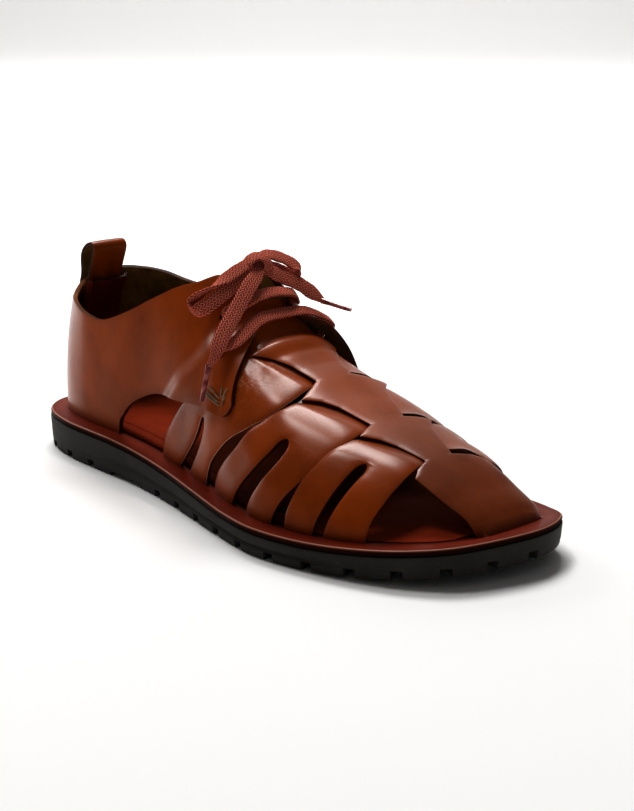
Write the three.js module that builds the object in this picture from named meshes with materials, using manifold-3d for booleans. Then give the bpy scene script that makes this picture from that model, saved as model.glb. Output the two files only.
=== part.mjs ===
// Fisherman sandal for the right foot, in millimetres, +X to the toe, +Y to the inner side, +Z up.
// The origin is on the floor under the middle of the heel seat.
import * as THREE from 'three';
import { mergeVertices } from 'three/addons/utils/BufferGeometryUtils.js';
import Module from 'manifold-3d';

const wasm = await Module();
wasm.setup();

// Driving sizes
const LENGTH = 298;
const BALL_WIDTH = 113;
const HEEL_HEIGHT = 18;
const BALL_HEIGHT = 12.1;
const TOE_SPRING = 6.5;
const INSTEP = 106;
const COLLAR_HEIGHT = 83;
const ARCH_WINDOW_HEIGHT = 45;
const HEEL_CENTRE = 45;
const WALL = 2.2;
const FEATHER = 8.5;
const LEATHER_SOLE = 2.5;
const INSOLE_THICKNESS = 2.4;
const INSOLE_DOME = 1.2;
const SEAT_DEPTH = 2;
const GAP = 0.3;
const SLOT_END = 1.2;
const FUSE = 0.25;
const OUTSOLE_DRAFT = 1;
const NOTCH_PITCH = 19.6;
const NOTCH_START = 22;
const NOTCH_WIDTH = 5;
const NOTCH_HEIGHT = 3.6;
const NOTCH_DEPTH = 14;
const GROOVE_HEIGHT = 1.8;
const PAD_HALF_WIDTH = 12;
const GROOVES_END = 236;
const ARCH_RECESS = 2;
const ARCH_STEP_MIDDLE = 89.5;
const ARCH_STEP_LENGTH = 25;
const SEAM_PLAY = 0.1;
const PLAIT_END = 0.9;
const BAND_UNDER = 0.35;
const TOE_END_BACK = 1.7;
const TOE_SLANT = 1.2;
const STRIP_GAP = 0.4;
const TOE_END_CURVE = 40;
const INSOLE_PLAY = 0.6;
const INSOLE_TOE_PLAY = 4.5;
const INSOLE_ROUND = 1.2;
const PULL_START = 24;
const PULL_END = 60;
const LOOP_LEAN = 5.5;
const BAR_PLAY = 1.2;
const BAR_CLIMB = 0.05;
const BAR_ROWS = 20;
const LINING_BLEND = 7;
const TIP_GAP = 1.2;
const FACET_TOLERANCE = 0.1;
const SOLE_TOLERANCE = 0.02;
const SLIVER = 1;
const EYELET = 4.4;
const EYELET_INSET = 9;
const LOOP_WIDTH = 17;
const LOOP_THICKNESS = 2;
const LOOP_RISE = 13.4;
const LOOP_DEPTH = 10.8;
const LINING_WIDTH = 23;
const LINING_THICKNESS = 1.4;
const LACE_WIDTH = 7;
const LACE_THICKNESS = 1.6;
const LACE_CORD = 3.4;
const TIP_DIAMETER = 2.4;
const TIP_LENGTH = 14;

// Sole outline: station as a share of the length, half widths as shares of the ball width
const SOLE_OUTLINE = [
  { at: 0.012, outer: 0.159, inner: 0.150 },
  { at: 0.054, outer: 0.270, inner: 0.257 },
  { at: 0.128, outer: 0.333, inner: 0.310 },
  { at: 0.221, outer: 0.357, inner: 0.305 },
  { at: 0.319, outer: 0.373, inner: 0.281 },
  { at: 0.416, outer: 0.414, inner: 0.279 },
  { at: 0.510, outer: 0.473, inner: 0.323 },
  { at: 0.597, outer: 0.529, inner: 0.385 },
  { at: 0.681, outer: 0.570, inner: 0.427 },
  { at: 0.765, outer: 0.549, inner: 0.432 },
  { at: 0.846, outer: 0.489, inner: 0.401 },
  { at: 0.919, outer: 0.389, inner: 0.341 },
  { at: 0.970, outer: 0.239, inner: 0.257 },
];
const HEEL_END = { at: 0, across: -0.009 };
const TOE_END = { at: 0.997, across: 0.053 };

// Last: station, rise over the footbed as a share of the instep, sideways shift of the ridge as a
// share of the ball width, and the roundness of the section
const LAST = [
  { at: 0.000, rise: 0.722, shift: -0.009, round: 2.5 },
  { at: 0.074, rise: 0.840, shift: -0.009, round: 2.5 },
  { at: 0.151, rise: 1.000, shift: -0.013, round: 2.5 },
  { at: 0.252, rise: 1.010, shift: -0.018, round: 2.4 },
  { at: 0.336, rise: 0.985, shift: -0.022, round: 2.3 },
  { at: 0.403, rise: 0.915, shift: -0.027, round: 2.2 },
  { at: 0.443, rise: 0.837, shift: -0.027, round: 2.2 },
  { at: 0.477, rise: 0.738, shift: -0.027, round: 2.3 },
  { at: 0.503, rise: 0.639, shift: -0.027, round: 2.5 },
  { at: 0.527, rise: 0.567, shift: -0.027, round: 2.8 },
  { at: 0.570, rise: 0.500, shift: -0.027, round: 2.8 },
  { at: 0.624, rise: 0.440, shift: -0.027, round: 2.8 },
  { at: 0.678, rise: 0.381, shift: -0.027, round: 2.8 },
  { at: 0.734, rise: 0.326, shift: -0.027, round: 2.7 },
  { at: 0.785, rise: 0.276, shift: -0.027, round: 2.6 },
  { at: 0.836, rise: 0.227, shift: -0.022, round: 2.5 },
  { at: 0.879, rise: 0.172, shift: -0.018, round: 2.4 },
  { at: 0.913, rise: 0.114, shift: -0.009, round: 2.3 },
  { at: 0.936, rise: 0.064, shift: 0.000, round: 2.2 },
  { at: 0.953, rise: 0.016, shift: 0.000, round: 2.2 },
  { at: 0.961, rise: 0.000, shift: 0.000, round: 2.2 },
];

// Footbed height: the pitch runs between these stations and the toe springs from the last one
const PITCH_START = 0.25;
const PITCH_END = 0.60;
const SPRING_START = 0.725;

// Quarter, a row for each fold from the heel to the facing: foot of the fold and its top as
// stations, heights as shares of the arch window and of the collar, for the outer and inner side
const QUARTER = [
  { foot: 0.000, low: 0.00, top: 0.000, outer: 1.000, inner: 1.000 },
  { foot: 0.027, low: 0.00, top: 0.027, outer: 0.960, inner: 1.004 },
  { foot: 0.060, low: 0.00, top: 0.057, outer: 0.885, inner: 1.006 },
  { foot: 0.080, low: 0.00, top: 0.074, outer: 0.873, inner: 1.005 },
  { foot: 0.100, low: 0.00, top: 0.092, outer: 0.864, inner: 1.004 },
  { foot: 0.122, low: 0.00, top: 0.115, outer: 0.851, inner: 0.999 },
  { foot: 0.145, low: 0.00, top: 0.140, outer: 0.838, inner: 0.992 },
  { foot: 0.200, low: 0.00, top: 0.184, outer: 0.823, inner: 0.974 },
  { foot: 0.247, low: 0.00, top: 0.222, outer: 0.852, inner: 0.968 },
  { foot: 0.250, low: 0.50, top: 0.235, outer: 0.869, inner: 0.972 },
  { foot: 0.262, low: 0.63, top: 0.255, outer: 0.898, inner: 0.982 },
  { foot: 0.285, low: 0.77, top: 0.282, outer: 0.940, inner: 1.003 },
  { foot: 0.315, low: 0.875, top: 0.315, outer: 1.000, inner: 1.035 },
  { foot: 0.352, low: 0.96, top: 0.346, outer: 1.054, inner: 1.075 },
  { foot: 0.391, low: 0.995, top: 0.376, outer: 1.108, inner: 1.120 },
  { foot: 0.434, low: 1.01, top: 0.403, outer: 1.146, inner: 1.152 },
  { foot: 0.470, low: 1.04, top: 0.422, outer: 1.170, inner: 1.174 },
  { foot: 0.510, low: 1.06, top: 0.435, outer: 1.194, inner: 1.196 },
  { foot: 0.542, low: 1.04, top: 0.446, outer: 1.211, inner: 1.211 },
  { foot: 0.556, low: 1.05, top: 0.455, outer: 1.214, inner: 1.214 },
  { foot: 0.566, low: 1.09, top: 0.462, outer: 1.214, inner: 1.214 },
  { foot: 0.571, low: 1.165, top: 0.466, outer: 1.213, inner: 1.213 },
];
const FACING_BOW = 3.4;
const FACING_START = 0.747;
const FACING_FLARE = { outer: 0.2, inner: 4 };

// Eyelets, as shares of the way to the facing's edge and up the fold
const EYELETS = [
  { fold: 0.873, height: 0.42 },
  { fold: 0.873, height: 0.70 },
];

// Bands from the foot to the plait: stations of the back and front edge, how far up the section
// each lies, and the height of the band's face in walls
const BANDS = {
  a: [
    { back: 0.371, backUp: 0.00, front: 0.512, frontUp: 0.00, face: 1 },
    { back: 0.381, backUp: 0.05, front: 0.524, frontUp: 0.05, face: 1 },
    { back: 0.400, backUp: 0.10, front: 0.544, frontUp: 0.12, face: 1 },
    { back: 0.433, backUp: 0.19, front: 0.577, frontUp: 0.25, face: 1 },
    { back: 0.470, backUp: 0.30, front: 0.609, frontUp: 0.38, face: 1.15 },
    { back: 0.500, backUp: 0.42, front: 0.636, frontUp: 0.53, face: 1.6 },
    { back: 0.520, backUp: 0.57, front: 0.645, frontUp: 0.68, face: 2 },
    { back: 0.537, backUp: 0.70, front: 0.640, frontUp: 0.84, face: 1.9 },
    { back: 0.545, backUp: 0.765, front: 0.631, frontUp: 0.92, face: 1.2 },
    { back: 0.557, backUp: 0.85, front: 0.622, frontUp: 0.975, face: 0.9 },
  ],
  b: [
    { back: 0.539, backUp: 0.00, front: 0.695, frontUp: 0.00, face: 1 },
    { back: 0.550, backUp: 0.05, front: 0.704, frontUp: 0.06, face: 1 },
    { back: 0.570, backUp: 0.12, front: 0.716, frontUp: 0.14, face: 1 },
    { back: 0.590, backUp: 0.21, front: 0.729, frontUp: 0.24, face: 1 },
    { back: 0.611, backUp: 0.35, front: 0.742, frontUp: 0.37, face: 1.15 },
    { back: 0.634, backUp: 0.50, front: 0.751, frontUp: 0.52, face: 1.6 },
    { back: 0.646, backUp: 0.62, front: 0.755, frontUp: 0.67, face: 2 },
    { back: 0.650, backUp: 0.71, front: 0.751, frontUp: 0.82, face: 1.9 },
    { back: 0.652, backUp: 0.775, front: 0.742, frontUp: 0.92, face: 1.2 },
    { back: 0.664, backUp: 0.86, front: 0.733, frontUp: 0.975, face: 0.9 },
  ],
  c: [
    { back: 0.720, backUp: 0.00, front: 0.844, frontUp: 0.00, face: 1 },
    { back: 0.723, backUp: 0.06, front: 0.846, frontUp: 0.08, face: 1 },
    { back: 0.727, backUp: 0.12, front: 0.848, frontUp: 0.17, face: 1 },
    { back: 0.732, backUp: 0.20, front: 0.851, frontUp: 0.28, face: 1 },
    { back: 0.738, backUp: 0.33, front: 0.853, frontUp: 0.41, face: 1.15 },
    { back: 0.745, backUp: 0.50, front: 0.853, frontUp: 0.55, face: 1.6 },
    { back: 0.750, backUp: 0.63, front: 0.851, frontUp: 0.68, face: 2 },
    { back: 0.752, backUp: 0.74, front: 0.846, frontUp: 0.81, face: 1.9 },
    { back: 0.754, backUp: 0.81, front: 0.840, frontUp: 0.91, face: 1.2 },
    { back: 0.768, backUp: 0.89, front: 0.830, frontUp: 0.97, face: 0.9 },
  ],
};

// The slit that parts each band into two legs: width at the foot, station and height of its top
const SLITS = {
  a: { from: 0.427, to: 0.459, top: 0.497, up: 0.215, tip: 3.2 },
  b: { from: 0.596, to: 0.638, top: 0.687, up: 0.500, tip: 5.0 },
  c: { from: 0.768, to: 0.785, top: 0.800, up: 0.620, tip: 4.6 },
};

// Centre strap: half widths of the strap and of its raised plait, as shares of the ball width
const CENTRE_STRAP = [
  { at: 0.490, outer: 0.150, inner: 0.150, plaitOuter: 0.110, plaitInner: 0.110, face: 1 },
  { at: 0.503, outer: 0.225, inner: 0.215, plaitOuter: 0.190, plaitInner: 0.180, face: 1 },
  { at: 0.527, outer: 0.270, inner: 0.262, plaitOuter: 0.240, plaitInner: 0.232, face: 1.3 },
  { at: 0.545, outer: 0.286, inner: 0.280, plaitOuter: 0.195, plaitInner: 0.195, face: 2 },
  { at: 0.566, outer: 0.292, inner: 0.286, plaitOuter: 0.147, plaitInner: 0.147, face: 2 },
  { at: 0.590, outer: 0.292, inner: 0.286, plaitOuter: 0.115, plaitInner: 0.112, face: 2 },
  { at: 0.631, outer: 0.292, inner: 0.286, plaitOuter: 0.096, plaitInner: 0.075, face: 2 },
  { at: 0.640, outer: 0.292, inner: 0.286, plaitOuter: 0.140, plaitInner: 0.130, face: 1.9 },
  { at: 0.652, outer: 0.292, inner: 0.286, plaitOuter: 0.212, plaitInner: 0.205, face: 2 },
  { at: 0.670, outer: 0.288, inner: 0.280, plaitOuter: 0.163, plaitInner: 0.158, face: 2 },
  { at: 0.692, outer: 0.282, inner: 0.275, plaitOuter: 0.130, plaitInner: 0.125, face: 2 },
  { at: 0.742, outer: 0.265, inner: 0.258, plaitOuter: 0.096, plaitInner: 0.068, face: 2 },
  { at: 0.748, outer: 0.262, inner: 0.256, plaitOuter: 0.140, plaitInner: 0.125, face: 1.9 },
  { at: 0.755, outer: 0.258, inner: 0.252, plaitOuter: 0.180, plaitInner: 0.172, face: 2 },
  { at: 0.775, outer: 0.248, inner: 0.240, plaitOuter: 0.132, plaitInner: 0.126, face: 2 },
  { at: 0.797, outer: 0.232, inner: 0.226, plaitOuter: 0.105, plaitInner: 0.098, face: 2 },
  { at: 0.840, outer: 0.196, inner: 0.190, plaitOuter: 0.082, plaitInner: 0.052, face: 2 },
  { at: 0.848, outer: 0.188, inner: 0.184, plaitOuter: 0.140, plaitInner: 0.130, face: 1.8 },
  { at: 0.858, outer: 0.182, inner: 0.182, plaitOuter: 0.178, plaitInner: 0.178, face: 1.5 },
  { at: 0.885, outer: 0.174, inner: 0.190, plaitOuter: 0.168, plaitInner: 0.184, face: 1.1 },
  { at: 0.913, outer: 0.163, inner: 0.200, plaitOuter: 0.155, plaitInner: 0.192, face: 1 },
  { at: 0.936, outer: 0.150, inner: 0.196, plaitOuter: 0.140, plaitInner: 0.186, face: 1 },
  { at: 0.950, outer: 0.142, inner: 0.184, plaitOuter: 0.132, plaitInner: 0.174, face: 1 },
  { at: 0.961, outer: 0.135, inner: 0.172, plaitOuter: 0.125, plaitInner: 0.162, face: 1 },
];
const LAST_END = 0.961;

const SIDES = { outer: -1, inner: 1 };

function clamp(value, low, high) {
  return Math.min(high, Math.max(low, value));
}

function ease(from, to, value) {
  const share = clamp((value - from) / (to - from), 0, 1);
  return share * share * (3 - 2 * share);
}

function mix(from, to, share) {
  return from + (to - from) * share;
}

// A smooth curve through the named column of a table that never overshoots its rows
function through(rows, key, column) {
  const steps = rows.slice(1).map((row, i) => row[key] - rows[i][key]);
  const slopes = rows.slice(1).map((row, i) => (row[column] - rows[i][column]) / steps[i]);
  const tangents = rows.map((row, i) => {
    if (i === 0 || i === rows.length - 1) return slopes[Math.min(i, slopes.length - 1)];
    const before = slopes[i - 1];
    const after = slopes[i];
    if (before * after <= 0) return 0;
    const first = 2 * steps[i] + steps[i - 1];
    const second = steps[i] + 2 * steps[i - 1];
    return (first + second) / (first / before + second / after);
  });
  return (value) => {
    const last = rows.length - 1;
    const at = clamp(value, rows[0][key], rows[last][key]);
    let i = 0;
    while (i < last - 1 && at > rows[i + 1][key]) i += 1;
    const t = (at - rows[i][key]) / steps[i];
    const startValue = (2 * t ** 3 - 3 * t ** 2 + 1) * rows[i][column];
    const endValue = (3 * t ** 2 - 2 * t ** 3) * rows[i + 1][column];
    const startSlope = (t ** 3 - 2 * t ** 2 + t) * steps[i] * tangents[i];
    const endSlope = (t ** 3 - t ** 2) * steps[i] * tangents[i + 1];
    return startValue + endValue + startSlope + endSlope;
  };
}

// Straight lines through the named column of a table
function along(rows, key, column) {
  return (value) => {
    const last = rows.length - 1;
    const at = clamp(value, rows[0][key], rows[last][key]);
    let i = 0;
    while (i < last - 1 && at > rows[i + 1][key]) i += 1;
    const share = (at - rows[i][key]) / (rows[i + 1][key] - rows[i][key]);
    return mix(rows[i][column], rows[i + 1][column], share);
  };
}

// Sole outline on one side, from the heel (share 0) to the toe (share 1)
function outlinePoints(side) {
  const name = side < 0 ? 'outer' : 'inner';
  const rows = SOLE_OUTLINE.map((row) => new THREE.Vector3(
    row.at * LENGTH, side * row[name] * BALL_WIDTH, 0));
  const heel = new THREE.Vector3(HEEL_END.at * LENGTH, HEEL_END.across * BALL_WIDTH, 0);
  const toe = new THREE.Vector3(TOE_END.at * LENGTH, TOE_END.across * BALL_WIDTH, 0);
  return [heel, ...rows, toe];
}

const outerHalf = outlinePoints(SIDES.outer);
const innerHalf = outlinePoints(SIDES.inner);
const soleCurve = new THREE.CatmullRomCurve3(
  [...outerHalf, ...innerHalf.slice(1, -1).reverse()], true, 'catmullrom', 0.5);

function outline(share, side, inset) {
  const half = clamp(share, 0, 1) / 2;
  const at = side < 0 ? half : 1 - half;
  const point = soleCurve.getPoint(at % 1);
  const direction = soleCurve.getTangent(at % 1);
  return { x: point.x - direction.y * inset, y: point.y + direction.x * inset };
}

function footbedHeight(x) {
  const share = x / LENGTH;
  const pitch = clamp((share - PITCH_START) / (PITCH_END - PITCH_START), 0, 1);
  return mix(HEEL_HEIGHT, BALL_HEIGHT, pitch) + toeSpring(x);
}

function toeSpring(x) {
  const share = clamp((x / LENGTH - SPRING_START) / (1 - SPRING_START), 0, 1.1);
  return TOE_SPRING * share * share;
}

// The last's own lower outline, sampled once for each side
const OUTLINE_SAMPLES = 160;
const lastBase = Object.fromEntries(Object.values(SIDES).map((side) => {
  const points = [];
  for (let i = 0; i <= OUTLINE_SAMPLES; i += 1) {
    points.push(outline(i / OUTLINE_SAMPLES, side, FEATHER + WALL));
  }
  return [side, points];
}));

const lastRise = through(LAST, 'at', 'rise');
const lastShift = through(LAST, 'at', 'shift');
const lastRound = through(LAST, 'at', 'round');
const heelMiddle = lastShift(HEEL_CENTRE / LENGTH) * BALL_WIDTH;

function baseAcross(x, side) {
  const points = lastBase[side];
  let i = 0;
  while (i < points.length - 2 && points[i + 1].x < x) i += 1;
  const share = clamp((x - points[i].x) / (points[i + 1].x - points[i].x), 0, 1);
  return mix(points[i].y, points[i + 1].y, share);
}

function heelRadius(direction, side) {
  const points = lastBase[side];
  const cross = (p) => (p.x - HEEL_CENTRE) * direction.y - (p.y - heelMiddle) * direction.x;
  for (let i = 0; i < points.length - 1; i += 1) {
    const before = cross(points[i]);
    const after = cross(points[i + 1]);
    if (before * after <= 0) {
      const share = before / (before - after || 1);
      const x = mix(points[i].x, points[i + 1].x, share) - HEEL_CENTRE;
      const y = mix(points[i].y, points[i + 1].y, share) - heelMiddle;
      if (x * direction.x + y * direction.y > 0) return Math.hypot(x, y);
    }
  }
  const start = points[0];
  return Math.hypot(start.x - HEEL_CENTRE, start.y - heelMiddle);
}

// The section of the last at one station: behind the heel centre the sections fan round it
function section(station, side) {
  const share = clamp(station / LENGTH, 0, LAST[LAST.length - 1].at);
  const fan = clamp(1 - station / HEEL_CENTRE, 0, 1) * Math.PI / 2;
  const direction = { x: -Math.sin(fan), y: side * Math.cos(fan) };
  const x = Math.max(station, HEEL_CENTRE);
  const inFan = station < HEEL_CENTRE;
  const y = inFan ? heelMiddle : lastShift(share) * BALL_WIDTH;
  const half = inFan ? heelRadius(direction, side) : Math.abs(baseAcross(x, side) - y);
  const floor = footbedHeight(x + direction.x * half);
  return { x, y, direction, half, floor, rise: lastRise(share) * INSTEP, round: lastRound(share) };
}

function sectionPoint(cut, angle) {
  const out = cut.half * Math.max(Math.cos(angle), 0) ** (2 / cut.round);
  const up = cut.rise * Math.max(Math.sin(angle), 0) ** (2 / cut.round);
  return new THREE.Vector3(
    cut.x + cut.direction.x * out, cut.y + cut.direction.y * out, cut.floor + up);
}

// A point over the last: up is 0 at the footbed and 1 on the ridge, lift is along the normal
const STATION_STEP = 0.7;
const ANGLE_STEP = 0.002;
function overLast(station, side, up, lift, drop = 0) {
  const angle = clamp(up, 0, 1) * Math.PI / 2;
  const point = sectionPoint(section(station, side), angle);
  const ahead = sectionPoint(section(station + STATION_STEP, side), angle);
  const behind = sectionPoint(section(Math.max(station - STATION_STEP, 0), side), angle);
  const higher = sectionPoint(section(station, side), Math.min(angle + ANGLE_STEP, Math.PI / 2));
  const lower = sectionPoint(section(station, side), Math.max(angle - ANGLE_STEP, 0));
  const normal = ahead.sub(behind).cross(higher.sub(lower)).multiplyScalar(-side).normalize();
  if (up <= 0) normal.setZ(0).normalize();
  point.addScaledVector(normal, lift);
  point.z -= drop;
  return point;
}

function upAtHeight(station, side, height) {
  const cut = section(station, side);
  const share = clamp((height - cut.floor) / cut.rise, 0, 1);
  return Math.asin(share ** (cut.round / 2)) / (Math.PI / 2);
}

function upAcross(station, across) {
  const side = across < 0 ? -1 : 1;
  const cut = section(station, side);
  const share = clamp(Math.abs(across) / cut.half, 0, 1);
  return Math.acos(share ** (cut.round / 2)) / (Math.PI / 2);
}

// Closed solids
function solidOf(geometry) {
  const bare = geometry.clone();
  bare.deleteAttribute('normal');
  bare.deleteAttribute('uv');
  const merged = mergeVertices(bare, 1e-4);
  const mesh = new wasm.Mesh({
    numProp: 3,
    vertProperties: new Float32Array(merged.attributes.position.array),
    triVerts: new Uint32Array(merged.index.array),
  });
  return new wasm.Manifold(mesh);
}

function closedMesh(points, faces) {
  const geometry = new THREE.BufferGeometry();
  geometry.setAttribute('position', new THREE.Float32BufferAttribute(
    points.flatMap((point) => [point.x, point.y, point.z]), 3));
  const volume = faces.reduce((sum, [a, b, c]) => (
    sum + points[a].dot(points[b].clone().cross(points[c]))), 0);
  const wound = volume > 0 ? faces : faces.map(([a, b, c]) => [a, c, b]);
  geometry.setIndex(wound.flat());
  return solidOf(geometry);
}

// A sheet with thickness: place(u, v, w) gives its points, with w 0 on the foot's side
function sheet(columns, rows, place) {
  const points = [];
  const index = (w, i, j) => (w * (rows + 1) + j) * (columns + 1) + i;
  for (const w of [0, 1]) {
    for (let j = 0; j <= rows; j += 1) {
      for (let i = 0; i <= columns; i += 1) points.push(place(i / columns, j / rows, w));
    }
  }
  const faces = [];
  const quad = (a, b, c, d) => faces.push([a, b, c], [a, c, d]);
  for (let j = 0; j < rows; j += 1) {
    for (let i = 0; i < columns; i += 1) {
      quad(index(1, i, j), index(1, i + 1, j), index(1, i + 1, j + 1), index(1, i, j + 1));
      quad(index(0, i, j), index(0, i, j + 1), index(0, i + 1, j + 1), index(0, i + 1, j));
    }
  }
  for (let i = 0; i < columns; i += 1) {
    quad(index(0, i, 0), index(0, i + 1, 0), index(1, i + 1, 0), index(1, i, 0));
    quad(index(0, i, rows), index(1, i, rows), index(1, i + 1, rows), index(0, i + 1, rows));
  }
  for (let j = 0; j < rows; j += 1) {
    quad(index(0, 0, j), index(1, 0, j), index(1, 0, j + 1), index(0, 0, j + 1));
    quad(index(0, columns, j), index(0, columns, j + 1), index(1, columns, j + 1), index(1, columns, j));
  }
  return closedMesh(points, faces);
}

// A loft through rings of equal length, closed at both ends by a fan
function loft(rings) {
  const count = rings[0].length;
  const points = rings.flat();
  const faces = [];
  for (let r = 0; r < rings.length - 1; r += 1) {
    for (let i = 0; i < count; i += 1) {
      const next = (i + 1) % count;
      const here = r * count;
      faces.push([here + i, here + next, here + count + next]);
      faces.push([here + i, here + count + next, here + count + i]);
    }
  }
  for (const [r, flip] of [[0, true], [rings.length - 1, false]]) {
    const middle = new THREE.Vector3();
    for (const point of rings[r]) middle.addScaledVector(point, 1 / count);
    points.push(middle);
    const centre = points.length - 1;
    for (let i = 0; i < count; i += 1) {
      const pair = [r * count + i, r * count + (i + 1) % count];
      faces.push(flip ? [centre, pair[1], pair[0]] : [centre, pair[0], pair[1]]);
    }
  }
  return closedMesh(points, faces);
}

// A layer of the sole between two heights, with its outline inset at the top and the bottom
function soleLayer({ steps, across, topInset, bottomInset, top, bottom }) {
  const rings = [];
  for (let i = 0; i <= steps; i += 1) {
    const share = mix(0.004, 0.996, (1 - Math.cos(Math.PI * i / steps)) / 2);
    const ring = [];
    const line = (inset, height, forward) => {
      const outer = outline(share, SIDES.outer, inset);
      const inner = outline(share, SIDES.inner, inset);
      for (let k = 0; k <= across; k += 1) {
        const w = forward ? k / across : 1 - k / across;
        const x = mix(outer.x, inner.x, w);
        ring.push(new THREE.Vector3(x, mix(outer.y, inner.y, w), height(x, w)));
      }
    };
    line(topInset, top, true);
    line(bottomInset, bottom, false);
    rings.push(ring);
  }
  return loft(rings);
}

// Outsole: a slab with a step at the arch, notches round its edge and a groove in from each notch
function outsoleSolid() {
  const top = (x) => footbedHeight(x) - LEATHER_SOLE - GAP;
  const solid = soleLayer({
    steps: 34, across: 4, topInset: 0, bottomInset: OUTSOLE_DRAFT, top, bottom: toeSpring,
  });
  const arch = boxSolid(ARCH_STEP_LENGTH, 2 * BALL_WIDTH, 2 * ARCH_RECESS);
  const cutters = [arch.translate(ARCH_STEP_MIDDLE, 0, 0)];
  for (const side of Object.values(SIDES)) {
    for (const place of notchPlaces(side)) {
      cutters.push(notchSolid(place, NOTCH_DEPTH, NOTCH_HEIGHT));
      const reach = Math.abs(place.y) - PAD_HALF_WIDTH;
      if (place.x < GROOVES_END && reach > NOTCH_DEPTH) {
        cutters.push(notchSolid(place, reach, GROOVE_HEIGHT));
      }
    }
  }
  return solid.subtract(wasm.Manifold.union(cutters)).simplify(SOLE_TOLERANCE);
}

function boxSolid(length, width, height) {
  return solidOf(new THREE.BoxGeometry(length, width, height));
}

// Notches stand at an even pitch along the outline and leave out the arch
function notchPlaces(side) {
  const places = [];
  let walked = -NOTCH_START;
  let before = outline(0, side, 0);
  for (let i = 1; i <= OUTLINE_SAMPLES * 4; i += 1) {
    const here = outline(i / (OUTLINE_SAMPLES * 4), side, 0);
    walked += Math.hypot(here.x - before.x, here.y - before.y);
    if (walked >= 0) {
      const turn = Math.atan2(here.y - before.y, here.x - before.x);
      const inArch = Math.abs(here.x - ARCH_STEP_MIDDLE) < ARCH_STEP_LENGTH / 2 + NOTCH_WIDTH;
      if (!inArch) places.push({ x: here.x, y: here.y, turn, side });
      walked -= NOTCH_PITCH;
    }
    before = here;
  }
  return places;
}

function notchSolid(place, depth, height) {
  const overlap = 2;
  const box = boxSolid(NOTCH_WIDTH, depth + overlap, 2 * height);
  const inward = -place.side * (depth - overlap) / 2;
  const degrees = THREE.MathUtils.radToDeg(place.turn);
  return box.translate(0, inward, 0).rotate(0, 0, degrees)
    .translate(place.x, place.y, toeSpring(place.x));
}

// Bands
function column(rows, name) {
  const numbered = rows.map((row, i) => ({ ...row, index: i / (rows.length - 1) }));
  return through(numbered, 'index', name);
}

function bandShape(rows) {
  const names = ['back', 'backUp', 'front', 'frontUp', 'face'];
  const curves = Object.fromEntries(names.map((name) => [name, column(rows, name)]));
  return (u, v) => ({
    station: mix(curves.back(v), curves.front(v), u) * LENGTH,
    up: mix(curves.backUp(v), curves.frontUp(v), u),
    face: curves.face(v) * WALL,
  });
}

function bandSolid(name, side) {
  const shape = bandShape(BANDS[name]);
  const rows = 13;
  return sheet(5, rows, (u, v, w) => {
    const step = clamp(v * rows - 1, 0, rows - 1) / (rows - 1);
    const { station, up, face } = shape(u, step);
    return overLast(station, side, up, w === 0 ? BAND_UNDER : face, v === 0 ? SEAT_DEPTH : 0);
  }).subtract(slitSolid(SLITS[name], side));
}

function slitSolid(slit, side) {
  const foot = (slit.from + slit.to) / 2 * LENGTH;
  const width = (slit.to - slit.from) * LENGTH;
  const roundFrom = 0.86;
  const rows = 10;
  return sheet(2, rows, (u, v, w) => {
    const step = clamp(v * rows - 1, 0, rows - 1) / (rows - 1);
    const station = mix(foot, slit.top * LENGTH, 1 - (1 - step) ** 2);
    const close = clamp((step - roundFrom) / (1 - roundFrom), 0, 0.98);
    const across = mix(width, slit.tip, step ** 0.7) * Math.sqrt(1 - close * close);
    const lift = mix(-WALL, 3 * WALL, w);
    const drop = v === 0 ? 2 * SEAT_DEPTH : 0;
    return overLast(station + (u - 0.5) * across, side, step * slit.up, lift, drop);
  });
}

// Centre strap: the full strap on the last, and the raised plait that the bands come out under
function strapPoint(at, across, lift) {
  const station = at * LENGTH;
  const side = across < 0 ? -1 : 1;
  return overLast(station, side, upAcross(station, across), lift);
}

function strapSolid(outer, inner, lowLift, faceLift, stations) {
  const curves = {
    outer: along(CENTRE_STRAP, 'at', outer),
    inner: along(CENTRE_STRAP, 'at', inner),
    face: along(CENTRE_STRAP, 'at', 'face'),
  };
  return sheet(8, stations.length - 1, (u, v, w) => {
    const at = stations[Math.round(v * (stations.length - 1))];
    const half = u < 0.5 ? curves.outer(at) : curves.inner(at);
    const across = (u - 0.5) * 2 * half * BALL_WIDTH;
    const lift = w === 0 ? lowLift : faceLift(curves.face(at)) * WALL;
    if (at < LAST_END) return strapPoint(at, across || -0.001, lift);
    const point = toeEnd(across, lift);
    if (v === 1) point.z -= SEAT_DEPTH;
    return point;
  });
}

function centreStrapSolid() {
  const stations = [...CENTRE_STRAP.map((row) => row.at), LAST_END];
  const whole = strapSolid('outer', 'inner', 0, () => 1, stations);
  const plaitEnd = stations.filter((at) => at < PLAIT_END);
  const plait = strapSolid('plaitOuter', 'plaitInner', WALL - FUSE, (face) => Math.max(face, 1.02),
    plaitEnd);
  return whole.add(plait);
}

// Quarter, with its facings, arch cut-outs and collar
const quarterCurves = Object.fromEntries(
  ['foot', 'low', 'top', 'outer', 'inner'].map((name) => [name, column(QUARTER, name)]));
const bandBack = along(BANDS.a, 'backUp', 'back');

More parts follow.
